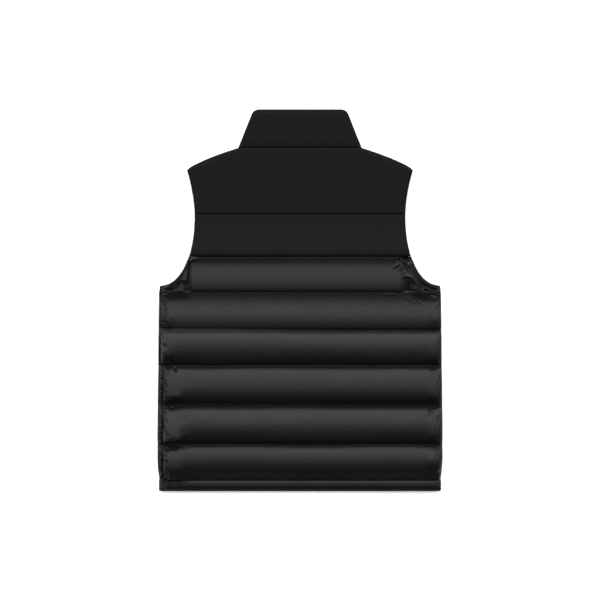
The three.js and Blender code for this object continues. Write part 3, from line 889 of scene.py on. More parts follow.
@dataclass
class BackBody(Panel):
    """The quilted lower back, six filled channels from the yoke seam to the hem band."""

    left_round: float = 0.011
    right_round: float = 0.012
    edge_share: float = 0.60
    strip_share: float = 0.42
    seam_dip: float = 0.10
    rim_step: float = 0.0010
    calm_above: float = -0.125
    most_hollow: float = 0.0012
    slack_start: float = 0.0225
    slack_rise: float = 0.0125
    slack_slope: float = 0.56
    slack_left: tuple[float, float] = (0.2185, 0.2225)
    slack_right: tuple[float, float] = (0.1980, 0.2150)
    roll_height: float = 0.0026
    roll_width: float = 0.0050
    spacing: tuple[float, float] = (0.0012, 0.0017)

    def thickness(self, x: Array, y: Array, number: int, share: Array) -> Array:
        """Thickness of the filled cloth.

        Args:
            x: the points' x.
            y: the points' y.
            number: which channel they are in, from the top.
            share: how far down the channel they are, 0 to 1.

        Returns:
            The thickness at each point.
        """
        channel = PATTERN.channels[number]
        by_armhole = y > PATTERN.underarm + 0.002
        to_edge, _ = distance_to_path(PATTERN.sides, np.abs(x), y)
        to_armhole, _ = distance_to_path(PATTERN.armhole, np.abs(x), y)
        to_side = np.where(x < 0, PATTERN.left_seam(y) - np.abs(x), to_edge)
        strip = self.strip_share * (0.7 + 0.3 * soft_rise(to_edge, 0.004))
        left = self.strip_share + (1 - self.strip_share) * soft_rise(np.maximum(to_side, 0), self.left_round)
        left = np.where(to_side < 0, strip, left) - self.seam_dip * bell(to_side, 0.0013)
        right = self.edge_share + (1 - self.edge_share) * soft_rise(to_side, self.right_round)
        edge = np.where(by_armhole, 1.0, np.where(x < 0, left, right))
        if channel.slopes:
            loft = self.sloped_loft(x, y, channel, to_armhole)
            loft = loft * np.where(by_armhole, 1.0, np.clip(edge * 1.1, 0, 1))
        else:
            uneven = 1 + 0.05 * slow_wave(x, 10 + number, 0.32) + 0.02 * slow_wave(x, 20 + number, 0.09)
            loft = channel.loft_at(x) * uneven * channel.dome(share, channel.crest_at(x, y)) * edge
        relief = sum(fold.relief(x, y) for fold in BACK_FOLDS)
        for line, gone, seed in ((number, share, 61), (number + 1, 1 - share, 60)):
            gathers = Gathers(seed + 2 * line, 0.0062, 0.0075, end_height)
            relief += gathers.relief(x, gone * channel.height, -0.285, 0.285)
        relief += self.side_seam_relief(x, y, 90 + number)
        free = edge_rise(np.minimum(np.abs(to_side), to_armhole) + 0.001, 0.004)
        free = free * smooth_step(np.minimum(share, 1 - share) * channel.height, 0.0, 0.0035)
        return PATTERN.seam_thickness + np.maximum(loft + relief * free, -self.most_hollow)

    def sloped_loft(self, x: Array, y: Array, channel: Channel, to_armhole: Array) -> Array:
        """Height of a channel's filling from its slopes, slack where it runs out under each arm.

        Args:
            x: the points' x.
            y: the points' y.
            channel: the channel they are in.
            to_armhole: distance of each point from the armhole's edge.

        Returns:
            The height over the seam's thickness.
        """
        base = PATTERN.back_floor(y) + PATTERN.seam_thickness
        swell = 0.0007 * slow_wave(x, 10, 0.30) + 0.0003 * slow_wave(x, 20, 0.09)
        loft = channel.sloped_top(y) + swell - base
        above, below = y - channel.bottom, channel.top - y
        if channel is PATTERN.channels[0]:
            slack = self.slack_start + self.slack_rise * np.tanh(self.slack_slope * above / self.slack_rise)
            slack = slack - base + self.roll_height * bell(to_armhole, self.roll_width)
            slack = slack * smooth_step(below, 0.0, 0.012)
            corner = smooth_step(-x, *self.slack_left) + smooth_step(x, *self.slack_right)
            corner = np.maximum(corner, 1 - smooth_step(to_armhole, 0.004, 0.008))
            loft = loft + (slack - loft) * corner
        return np.maximum(loft, 0) * np.clip(above / 0.0015, 0, 1) * np.clip(below / 0.0012, 0, 1)

    def calmed(self, place: Array, heights: tuple[float, float]) -> Array:
        """The first height beside the upper channels and the second below them."""
        return np.where(place > self.calm_above, *heights)

    def side_seam_relief(self, x: Array, y: Array, seed: int) -> Array:
        """The gathers that cross the side seam on the left.

        Args:
            x: the points' x.
            y: the points' y.
            seed: which set of gathers to lay.

        Returns:
            The height that they add.
        """
        away = np.abs(x + PATTERN.left_seam(y) - 0.0007 * slow_wave(y, 5, 0.03))
        relief = np.zeros(x.shape)
        for number, pitch, length, heights in (
            (seed, 0.0078, 0.0085, (0.0014, 0.0028)), (seed + 200, 0.0058, 0.0045, (0.0008, 0.0020)),
        ):
            gathers = Gathers(number, pitch, length, lambda place, pair=heights: self.calmed(place, pair))
            relief += gathers.relief(y, away, -0.36, 0.03)
        return relief * (y < PATTERN.underarm - 0.001)

    def points(self) -> tuple[Array, Array]:
        """The panel's outer and inner points.

        Returns:
            Two grids of one shape, sections by places across by 3.
        """
        outers, inners = [], []
        across = crowded(-1.0, 1.0, (0.0046, 0.0190), 0.18)
        across = np.concatenate([[-1.0, -0.9994], across[1:-1], [0.9994, 1.0, 1.0]])
        rim = np.ones(len(across))
        rim[[0, -1]] = 0.0
        rim[-2] = 0.5
        for number, channel in enumerate(PATTERN.channels):
            share, u, level = section_grid(number, across, self.spacing)
            left, right = -PATTERN.left_seam(level), PATTERN.right_seam(level)
            x = left + (right - left) * (u + 1) / 2
            y = level + (1 - share) * seam_drift(number, x) + share * seam_drift(number + 1, x)
            leave_seam_gap(y, number)
            floor = PATTERN.back_floor(y)
            on_edge = PATTERN.half_width(level) < PATTERN.seam_gap - left
            bare = (u > 0) | on_edge
            thick = self.thickness(x, y, number, share)
            thick = np.where(bare, PATTERN.seam_thickness + (thick - PATTERN.seam_thickness) * rim, thick)
            outer_x = x - self.rim_step * np.sign(u) * (rim == 0) * bare
            outer_y = y - channel.hang(share, channel.crest_at(x, y)) * np.clip((1 - np.abs(u)) / 0.02, 0, 1)
            if channel.slopes:
                outer_y += 0.0022 * np.exp(-share * channel.height / 0.0015) * (share > 0)
            outers.append(points_of(outer_x, outer_y, floor + thick))
            inners.append(points_of(x + np.where(on_edge, 0.0, 0.005) * (1 - u) / 2, y, floor))
        return np.concatenate(outers), np.concatenate(inners)


@dataclass
class FrontBody(Panel):
    """One quilted front. The left one goes round the side to its seam on the back."""

    side: Side = Side.RIGHT
    edge_round: float = 0.034
    fullness: float = 1.3
    wrap_slant: float = 0.0047
    back: BackBody | None = None

    def thickness(self, x: Array, y: Array, number: int, share: Array) -> Array:
        """Thickness of the filled cloth, flat where it lies on the surface.

        Args:
            x: distance of the points from the middle.
            y: the points' y.
            number: which channel they are in, from the top.
            share: how far down the channel they are, 0 to 1.

        Returns:
            The thickness at each point.
        """
        away, _ = distance_to_path(PATTERN.front_rim, x, y)
        full, edge = PATTERN.zip_side(x)
        dome = np.sqrt(np.clip(np.sin(math.pi * share), 0, 1))
        filled = self.fullness * PATTERN.body_rest * dome * edge_rise(away, self.edge_round) * full
        gathers = Gathers(120 + number + 10 * self.side.value, 0.0062, 0.007,
                          lambda place: 0.0006 + 0.0008 * bell(place - 0.02, 0.03))
        to_seam = np.minimum(share, 1 - share) * PATTERN.channels[number].height
        relief = gathers.relief(x, to_seam, 0.0, 0.285) * np.clip(to_seam / 0.003, 0, 1)
        zip_gathers = Gathers(140 + number, 0.0056, 0.009, 0.0009)
        relief += zip_gathers.relief(y, x - PATTERN.centre_gap, -0.36, 0.09) * full
        thick = edge + np.maximum(filled + relief * edge_rise(away, 0.006), -0.001)
        return np.minimum(thick, PATTERN.front_ceiling(y))

    def wrap(self, y: Array, edge: Array, number: int, share: Array) -> Array:
        """Points of the part that goes round the side, up to the side seam on the back.

        Args:
            y: level of each section, one row each.
            edge: half width there.
            number: which channel, from the top.
            share: how far down the channel each section is.

        Returns:
            The points, sections by steps by 3.
        """
        steps = np.array([0, 0.02, 0.06, 0.12, 0.2, 0.3, 0.42, 0.56, 0.7, 0.85, 1.0])
        reach = edge - PATTERN.left_seam(y) - PATTERN.seam_gap
        x, levels, shares = np.broadcast_arrays(edge - reach * steps, y, share)
        thick = self.back.thickness(-x, levels, number, shares)
        lift = np.where(steps == 0, 0.0, PATTERN.layer_gap / 2 + thick)
        closed = PATTERN.seam_thickness * (1 - (np.arange(len(steps)) + 1) / (len(steps) + 1))
        flat = reach < PATTERN.seam_gap
        z = np.where(flat, PATTERN.front_ceiling(y) - closed, PATTERN.rest_height(y) + lift)
        return points_of(self.side.value * np.where(flat, edge, x), levels, z)

    def points(self) -> tuple[Array, Array]:
        """The panel's outer and inner points.

        Returns:
            Two grids of one shape, sections by places across by 3.
        """
        outers, inners = [], []
        across = crowded(0.0, 1.0, (0.010, 0.026), 0.10)
        wraps = self.side is Side.LEFT
        for number in range(len(PATTERN.channels)):
            share, u, y = section_grid(number, across, (0.0014, 0.0015 if wraps else 0.0040))
            leave_seam_gap(y, number)
            edge = PATTERN.front_half_width(y)
            x = PATTERN.centre_gap + (edge - PATTERN.centre_gap) * u
            floor = PATTERN.front_ceiling(y)
            z = floor - self.thickness(x, y, number, share)
            outer = points_of(self.side.value * (x - 0.0008 * (u > 0.9999)), y, z)
            level, inner_edge = y[:, :1], edge[:, :1]
            if wraps:
                outer = np.concatenate([outer, self.wrap(level, inner_edge, number, share[:, :1])], 1)
                seam = PATTERN.left_seam(level)
                wraps_here = inner_edge - seam > 2 * PATTERN.seam_gap
                inner_edge = np.where(wraps_here, seam - self.wrap_slant, inner_edge)
            steps = np.linspace(0, 1, outer.shape[1])
            inner_x = PATTERN.centre_gap + (inner_edge - PATTERN.centre_gap) * steps
            outers.append(outer)
            inners.append(points_of(self.side.value * inner_x, level, floor[:, :1]))
        return np.concatenate(outers), np.concatenate(inners)


@dataclass
class BackYoke(Panel):
    """The smooth matte upper back, with one line of stitching across it."""

    thickness_full: float = 0.0105
    edge_round: float = 0.012
    seam_round: float = 0.012
    droop: float = 0.0060
    hang_width: float = 0.018
    lower_swell: float = 0.0153
    swell_level: float = 0.008
    swell_width: float = 0.048
    stitch_depth: float = 0.0042
    stitch_width: float = 0.0017

    def points(self) -> tuple[Array, Array]:
        """The panel's outer and inner points.

        Returns:
            Two grids of one shape, levels by places across by 3.
        """
        gap, spacing = PATTERN.seam_gap / 2, (0.0010, 0.0030)
        lower = crowded(PATTERN.yoke_seam + gap, PATTERN.stitch_line, spacing, 0.012)
        upper = crowded(PATTERN.stitch_line, PATTERN.collar_seam - gap, spacing, 0.012)
        across = crowded(-1.0, 1.0, (0.0055, 0.0160), 0.12)
        y, u = np.meshgrid(np.concatenate([lower, upper[1:]]), across, indexing="ij")
        half = PATTERN.half_width(y)
        x = half * u
        away, _ = distance_to_path(PATTERN.back_rim, np.abs(x), y)
        seams = edge_rise(y - PATTERN.yoke_seam, self.seam_round) * edge_rise(PATTERN.collar_seam - y, 0.005)
        full = edge_rise(away, self.edge_round) * seams
        stitch = self.stitch_depth * np.exp(-np.abs((y - PATTERN.stitch_line) / self.stitch_width) ** 1.5)
        swell = self.lower_swell * bell(y - PATTERN.yoke_seam - self.swell_level, self.swell_width)
        thick = PATTERN.seam_thickness + (self.thickness_full + swell - PATTERN.seam_thickness) * full
        relief = 0.00035 * soft_relief(x, y, 7, 0.11)
        for seed, seam, height in ((31, PATTERN.stitch_line, 0.00022), (32, PATTERN.yoke_seam, 0.0005)):
            relief += Gathers(seed, 0.0085, 0.010, height).relief(x, np.abs(y - seam), -0.23, 0.23)
        relief += Gathers(33, 0.009, 0.006, 0.0003).relief(y, away, 0.08, 0.31)
        floor = PATTERN.back_floor(y)
        outer_x = np.clip(x, PATTERN.edge_trim - half, half - PATTERN.edge_trim)
        hanging = bell(y - PATTERN.yoke_seam, self.hang_width) * np.clip((1 - np.abs(u)) / 0.07, 0, 1)
        top = floor + thick + (relief - stitch) * full
        return points_of(outer_x, y - self.droop * full * hanging, top), points_of(x, y, floor)


@dataclass
class FrontYoke(Panel):
    """One smooth matte upper front, cut to the armhole and the neckline."""

    side: Side = Side.RIGHT
    edge_round: float = 0.012

    def points(self) -> tuple[Array, Array]:
        """The panel's outer and inner points.

        Returns:
            Two grids of one shape, levels by places across by 3.
        """
        neck_half = PATTERN.neck_half()
        neck_shares = np.concatenate([np.linspace(PATTERN.centre_gap / neck_half, 0.95, 26), [0.975, 1.0]])
        neck = PATTERN.neck_level(neck_shares) - PATTERN.layer_gap
        low = crowded(PATTERN.yoke_seam + PATTERN.seam_gap / 2, neck[0], (0.0016, 0.0045), 0.012)
        across = crowded(0.0, 1.0, (0.014, 0.032), 0.14)
        y, u = np.meshgrid(np.concatenate([low, neck[1:]]), across, indexing="ij")
        share = np.sqrt(np.clip(1 - (PATTERN.collar_seam - y - PATTERN.layer_gap) / PATTERN.neck_drop, 0, 1))
        inner_edge = np.maximum(PATTERN.centre_gap, neck_half * share)
        half = PATTERN.front_half_width(y)
        x = inner_edge + (half - inner_edge) * u
        away, _ = distance_to_path(PATTERN.front_rim, x, y)
        to_neck, _ = distance_to_path(np.stack([neck_half * neck_shares, neck], -1), x, y)
        inside = np.minimum(np.minimum(away, to_neck), y - PATTERN.yoke_seam)
        full, edge = PATTERN.zip_side(x)
        full = full * edge_rise(inside, self.edge_round)
        floor = PATTERN.front_ceiling(y)
        thick = np.minimum(edge + (PATTERN.body_rest - edge) * full, floor)
        outer_x = np.minimum(x, half - PATTERN.edge_trim)
        sign = self.side.value
        return points_of(sign * outer_x, y, floor - thick), points_of(sign * x, y, floor)


@dataclass
class FoldedStrip(Panel):
    """A padded strip that is folded flat at both sides and open at the centre front."""

    full: float = 0.008
    seam_level: float = 0.0
    free_level: float = 0.0
    seam_round: float = 0.010
    free_round: float = 0.006
    free_thickness: float = 0.003
    seam_ledge: float = 0.0
    back_gain: float = 1.0
    free_reach: float = 0.0
    seam_drop: float = 0.0
    free_drop: float = 0.0
    seed: int = 1
    gather_height: float = 0.0003
    gather_pitch: float = 0.0080

    def thickness_at(self, level: Array) -> Array:
        """Thickness of the strip, thin at the seam and rounded at its free edge.

        Args:
            level: the levels to take it at.

        Returns:
            The thickness at each level.
        """
        rise = soft_rise if self.seam_ledge else edge_rise
        seam = rise(np.abs(level - self.seam_level) - self.seam_ledge, self.seam_round)
        free = soft_rise(np.abs(level - self.free_level), self.free_round)
        at_seam = PATTERN.seam_thickness + (self.full - PATTERN.seam_thickness) * seam
        return np.minimum(at_seam, self.free_thickness + (self.full - self.free_thickness) * free)

    def relief(self, x: Array, level: Array) -> Array:
        """Gathers along the seam, stronger at its left end, and a slight unevenness of the filling.

        Args:
            x: the points' x.
            level: the points' y.

        Returns:
            The height that they add.
        """
        gathers = Gathers(self.seed, self.gather_pitch, 0.007,
                          lambda place: self.gather_height * (1 + 4 * (place < -0.24)))
        relief = gathers.relief(x, np.abs(level - self.seam_level), -0.29, 0.29)
        return relief + 0.00025 * soft_relief(x, level, self.seed + 3, 0.07)

    def half(self, side: Side) -> tuple[Array, Array]:
        """Points of one half, from the middle of the back round its fold to the zip.

        Args:
            side: which half.

        Returns:
            Its outer and inner points, levels by places by 3.
        """
        sign = side.value
        low, high = sorted((self.seam_level, self.free_level))
        levels = crowded(low, high, (0.0007, 0.0022), 0.006)[:, None]
        thick = self.thickness_at(levels)
        gap = PATTERN.layer_gap / 2
        flat = PATTERN.half_width(levels) - gap - thick
        rest = PATTERN.rest_height(levels)
        to_free = (levels - self.seam_level) / (self.free_level - self.seam_level)
        drop = self.seam_drop + (self.free_drop - self.seam_drop) * to_free
        level = levels + np.sign(self.free_level - self.seam_level) * self.free_reach * to_free

        steps = np.linspace(0, 1, 130)
        x = sign * flat * (0.6 * np.sin(math.pi / 2 * steps) + 0.4 * steps)
        inside = np.clip(np.minimum(levels - low, high - levels) / 0.004, 0, 1)
        fuller = 1 + (self.back_gain - 1) * edge_rise(flat - np.abs(x), 0.012)
        relief = self.relief(x, np.broadcast_to(level, x.shape)) * inside
        outer = [points_of(x, level, rest + (gap + thick * fuller + relief))]
        inner = [points_of(x, level, rest + gap)]

        turns = np.radians(np.linspace(84, -84, 15))
        for parts, radius in ((outer, gap + thick), (inner, gap)):
            fold_x = sign * (flat + radius * np.cos(turns))
            parts.append(points_of(fold_x, level, rest + radius * np.sin(turns)))

        share = 1 - (1 - PATTERN.centre_gap / flat) * np.linspace(0, 1, 60)
        thin = np.minimum(PATTERN.zip_edge_thickness, thick)
        wall = thin + (thick - thin) * edge_rise(flat * share - PATTERN.centre_gap, 0.012)
        for parts, depth in ((outer, wall), (inner, 0.0)):
            parts.append(points_of(sign * flat * share, level - drop * (1 - share**2), rest - gap - depth))
        return np.concatenate(outer, 1), np.concatenate(inner, 1)

    def points(self) -> tuple[Array, Array]:
        """The strip's points, from one end at the centre front round to the other.

        Returns:
            Two grids of one shape, levels by places round the vest by 3.
        """
        halves = zip(self.half(Side.LEFT), self.half(Side.RIGHT))
        outer, inner = (np.concatenate([left[:, ::-1], right[:, 1:]], 1) for left, right in halves)
        return outer, inner


def make_collar() -> FoldedStrip:
    """The stand collar, whose front hangs lower than its back.

    Returns:
        The panel, not built yet.
    """
    return FoldedStrip(
        "collar_cloth", "collar", Slot.MATTE, 0.4, full=0.008,
        seam_level=PATTERN.collar_seam + PATTERN.seam_gap / 2, free_level=PATTERN.top,
        seam_round=0.016, free_round=0.012, seam_drop=PATTERN.neck_drop, free_drop=0.072,
        seed=201, gather_height=0.00018,
    )


def make_hem_band() -> FoldedStrip:
    """The narrow band round the hem.

    Returns:
        The panel, not built yet.
    """
    return FoldedStrip(
        "hem_band_cloth", "hem_band", Slot.GLOSSY, 0.5, full=0.00815,
        seam_level=PATTERN.hem_seam - PATTERN.seam_gap / 2, free_level=PATTERN.hem_edge,
        seam_ledge=0.0026, seam_round=0.005, free_round=0.0150, free_thickness=0.0012,
        back_gain=1.22, free_reach=0.0011, seed=211, gather_height=0.0004, gather_pitch=0.0070,
    )


# Sewing and the zip


@dataclass
class Stitching:
    """Rows of thread stitches, each a short rounded bar that lies in its seam."""

    name: str
    slot: Slot
    length: float = 0.0024
    pitch: float = 0.0033
    half_thick: float = 0.00028
    rows: list[Array] = field(default_factory=list)

    def add_row(self, path: Array) -> None:
        """Adds a row of stitches along a path of x, y and z points."""
        self.rows.append(path)

    def template(self) -> tuple[Array, Array]:
        """One stitch along X.

        Returns:
            Its vertices and its four-cornered faces.
        """
        rings = np.array([(-0.5, 0.25), (-0.36, 0.9), (0.0, 1.0), (0.36, 0.9), (0.5, 0.25)])
        turns = np.linspace(0, 2 * math.pi, 7)[:-1]
        vertices = np.array([
            (along, size * math.cos(turn), size * math.sin(turn)) for along, size in rings for turn in turns
        ]) * (self.length, self.half_thick, self.half_thick)
        last = 6 * (len(rings) - 1)
        faces = ring_sides(len(rings), 6)
        faces += [(3, 2, 1, 0), (5, 4, 3, 0)]
        faces += [(last, last + 1, last + 2, last + 3), (last, last + 3, last + 4, last + 5)]
        return vertices, np.array(faces)[:, ::-1]

    def build(self) -> bpy.types.Object:
        """Makes all the stitches as one mesh.

        Returns:
            The mesh object, riding on the vest.
        """
        shape, faces = self.template()
        parts = []
        for path in self.rows:
            steps = np.linalg.norm(np.diff(path, axis=0), axis=1)
            travelled = np.concatenate([[0], np.cumsum(steps)])
            places = np.arange(self.pitch / 2, travelled[-1], self.pitch)
            here, ahead = (
                np.stack([np.interp(at, travelled, path[:, axis]) for axis in range(3)], -1)
                for at in (places, places + self.length / 2)
            )
            for start, along in zip(here, ahead - here):
                along = along / max(np.linalg.norm(along), 1e-9)
                side = np.cross([0, 0, 1], along)
                side = side / np.linalg.norm(side)
                parts.append((shape @ np.stack([along, side, np.cross(along, side)]) + start, faces))
        made = make_mesh(self.name, *join_parts(parts))
        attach(made, VEST_BODY)
        return made


@dataclass
class Zip:
    """The closed zip: two woven tapes, their teeth, the slider and its pull."""

    tape_inner: float = 0.0024
    tape_outer: float = 0.0080
    tape_thickness: float = 0.0010
    tape_depth: float = 0.00275
    tape_start: float = 0.002
    tape_top: float = 0.306
    tooth_pitch: float = 0.0030
    tape: bpy.types.Object | None = None
    teeth: bpy.types.Object | None = None

    def middle_height(self, y: Array) -> Array:
        """Height of the middle of the tape."""
        return PATTERN.rest_height(y) - self.tape_depth

    def build_tape(self) -> None:
        """Makes both tapes as one sheet of cloth with two strips."""
        levels = np.linspace(PATTERN.hem_edge + self.tape_start, self.tape_top, 240)
        strips = []
        for side in Side:
            across = side.value * np.linspace(self.tape_inner, self.tape_outer, 5)
            y, x = np.meshgrid(levels, across, indexing="ij")
            z, thick = self.middle_height(y), self.tape_thickness
            strips.append(wall_parts(points_of(x, y, z - thick / 2), points_of(x, y, z + thick / 2)))
        self.tape = make_mesh("zip_tape_cloth", *join_parts(strips))
        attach(self.tape, VEST_BODY)
        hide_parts("zip_tape_left", "zip_tape_right")

    def build_teeth(self) -> None:
        """Makes the meshed teeth, in turn from the left and the right tape."""
        side = np.array([
            (-0.0010, -0.00050, 0.0012), (0.0026, -0.00062, 0.0012),
            (0.0026, 0.00062, 0.0012), (-0.0010, 0.00050, 0.0012),
        ])
        cap = side * np.array([0.86, 0.80, 1.25])
        under = np.array([1, 1, -1])
        block = np.concatenate([cap * under, side * under, side, cap])
        faces = np.array([(3, 2, 1, 0), *ring_sides(4, 4), (12, 13, 14, 15)])
        teeth = []
        levels = np.arange(PATTERN.hem_edge + 0.006, self.tape_top - 0.004, self.tooth_pitch / 2)
        for number, level in enumerate(levels):
            sign = 1 if number % 2 else -1
            tooth = block * np.array([sign, 1, 1]) + (0, level, self.middle_height(level))
            teeth.append((tooth, faces[:, ::sign]))
        self.teeth = make_mesh("zip_teeth", *join_parts(teeth))
        flat = np.zeros(len(self.teeth.data.polygons), dtype=bool)
        self.teeth.data.polygons.foreach_set("use_smooth", flat)
        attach(self.teeth, VEST_BODY)

    def build(self) -> None:
        """Makes the tapes and the teeth."""
        self.build_tape()
        self.build_teeth()

    def dress(self, tape: bpy.types.Material, plastic: bpy.types.Material, metal: bpy.types.Material) -> None:
        """Gives the zip its finishes.

        Args:
            tape: for the tapes.
            plastic: for the teeth.
            metal: for the slider and its pull, which are the frame's own nodes.
        """
        self.tape.data.materials.append(tape)
        self.teeth.data.materials.append(plastic)
        for node in ("zip_slider", "zip_pull"):
            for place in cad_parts[node].material_slots:
                place.material = metal


# Finishes


def linear(grey: float, cool: float = 0.0) -> tuple[float, float, float, float]:
    """A near-neutral colour from its display value.

    Args:
        grey: the display value, 0 to 255.
        cool: how much higher its blue is.

    Returns:
        The colour in linear light.
    """
    shares = (grey / 255, grey / 255, (grey + cool) / 255)
    red, green, blue = (s / 12.92 if s <= 0.04045 else ((s + 0.055) / 1.055) ** 2.4 for s in shares)
    return red, green, blue, 1.0


class Nodes:
    """Adds and joins nodes in one node tree."""

    def __init__(self, tree: bpy.types.NodeTree) -> None:
        """Starts with a tree."""
        self.tree = tree

    def add(self, kind: str, inputs: Inputs | None = None, **settings: object) -> bpy.types.Node:
        """Adds a node.

        Args:
            kind: the node's type.
            inputs: what its inputs take, as for feed.
            settings: its own properties.

        Returns:
            The new node.
        """
        node = self.tree.nodes.new(kind)
        for name, value in settings.items():
            setattr(node, name, value)
        self.feed(node, inputs or {})
        return node

    def feed(self, node: bpy.types.Node, inputs: Inputs) -> None:
        """Joins sockets to a node's inputs, or sets their values.

        Args:
            node: the node.
            inputs: a socket or a value for each input, by its name or number. None leaves it as it is.
        """
        for place, value in inputs.items():
            if isinstance(value, bpy.types.NodeSocket):
                self.tree.links.new(value, node.inputs[place])
            elif value is not None:
                node.inputs[place].default_value = value

    def maths(self, operation: str, first: object, second: object = None) -> bpy.types.NodeSocket:
        """Output of a Math node on sockets or numbers."""
        return self.add("ShaderNodeMath", {0: first, 1: second}, operation=operation).outputs[0]

    def noise(
        self, place: object, scale: object, detail: float, distortion: float = 0.0,
    ) -> bpy.types.NodeSocket:
        """Output of a noise texture, between 0 and 1."""
        inputs = {"Vector": place, "Scale": scale, "Detail": detail, "Distortion": distortion}
        return self.add("ShaderNodeTexNoise", inputs, noise_dimensions="3D").outputs["Fac"]

    def mix(self, factor: object, first: object, second: object) -> bpy.types.NodeSocket:
        """Output of a mix of two colours."""
        return self.add("ShaderNodeMix", {"Factor": factor, 6: first, 7: second}, data_type="RGBA").outputs[2]

    def bump(self, height: object, distance: float, normal: object) -> bpy.types.NodeSocket:
        """Normal of a height whose 1 stands for a distance, laid over another normal if there is one."""
        inputs = {"Height": height, "Distance": distance, "Strength": 1.0, "Normal": normal}
        return self.add("ShaderNodeBump", inputs).outputs["Normal"]


def new_group(name: str, inputs: dict[str, object], outputs: dict[str, str]) -> tuple:
    """Makes an empty shader node group, with a place in metres as its first input.

    Args:
        name: the group's name.
        inputs: its other inputs' defaults by name, each a number or a colour.
        outputs: its outputs' kinds by name, Float or Color.

    Returns:
        The group, its node helper, the sockets of its inputs and its output node.
    """
    group = bpy.data.node_groups.new(name, "ShaderNodeTree")
    group.interface.new_socket(name="Vector", in_out="INPUT", socket_type="NodeSocketVector")
    for label, default in inputs.items():
        kind = "NodeSocketColor" if isinstance(default, tuple) else "NodeSocketFloat"
        group.interface.new_socket(name=label, in_out="INPUT", socket_type=kind).default_value = default
    for label, kind in outputs.items():
        group.interface.new_socket(name=label, in_out="OUTPUT", socket_type=f"NodeSocket{kind}")
    nodes = Nodes(group)
    return group, nodes, nodes.add("NodeGroupInput").outputs, nodes.add("NodeGroupOutput")


def weave_group() -> bpy.types.NodeTree:
    """A plain weave: crossed threads as a height.

    Returns:
        The node group.
    """
    group, nodes, given, result = new_group("plain_weave", {"Thread pitch": 0.0006}, {"Height": "Float"})
    split = nodes.add("ShaderNodeSeparateXYZ", {0: given["Vector"]}).outputs
    pace = nodes.maths("DIVIDE", math.pi, given["Thread pitch"])
    warp, weft = (nodes.maths("SINE", nodes.maths("MULTIPLY", split[axis], pace)) for axis in range(2))
    cross = nodes.maths("MULTIPLY", warp, weft)
    ribs = nodes.maths("ADD", nodes.maths("ABSOLUTE", warp), nodes.maths("ABSOLUTE", weft))
    height = nodes.maths("ADD", nodes.maths("MULTIPLY", cross, 0.5), nodes.maths("MULTIPLY", ribs, 0.25))
    nodes.feed(result, {"Height": height})
    return group


def cloth_tone_group() -> bpy.types.NodeTree:
    """Slow shifts of a cloth's colour and gloss, with a little lint.

    Returns:
        The node group.
    """
    group, nodes, given, result = new_group(
        "cloth_tone",
        {"Colour": (0.01, 0.01, 0.01, 1), "Cool colour": (0.01, 0.01, 0.012, 1), "Roughness": 0.5,
         "Roughness shift": 0.05, "Lint": 0.1},
        {"Colour": "Color", "Roughness": "Float"},
    )
    place = given["Vector"]
    cloth = nodes.mix(nodes.noise(place, 7.0, 3.0), given["Colour"], given["Cool colour"])
    specks = {"Value": nodes.noise(place, 900.0, 2.0), "From Min": 0.70, "From Max": 0.82}
    lint = nodes.maths("MULTIPLY", nodes.add("ShaderNodeMapRange", specks).outputs[0], given["Lint"])
    centred = nodes.maths("SUBTRACT", nodes.noise(place, 24.0, 4.0), 0.5)
    shift = nodes.maths("MULTIPLY", centred, given["Roughness shift"])
    nodes.feed(result, {
        "Colour": nodes.mix(lint, cloth, (0.08, 0.08, 0.085, 1)),
        "Roughness": nodes.maths("ADD", given["Roughness"], shift),
    })
    return group


def crinkle_group() -> bpy.types.NodeTree:
    """Fine crinkles of thin cloth as a height, from broad soft ones to small crisp ones.

    Returns:
        The node group.
    """
    group, nodes, given, result = new_group("cloth_crinkle", {"Scale": 40.0}, {"Height": "Float"})
    soft = nodes.noise(given["Vector"], given["Scale"], 3.0, 0.6)
    folded = nodes.maths("ABSOLUTE", nodes.maths("SUBTRACT", soft, 0.5))
    crisp = nodes.maths("POWER", nodes.maths("SUBTRACT", 1.0, nodes.maths("MULTIPLY", folded, 2.0)), 3.0)
    nodes.feed(result, {"Height": nodes.maths("MULTIPLY", crisp, 0.5)})
    return group


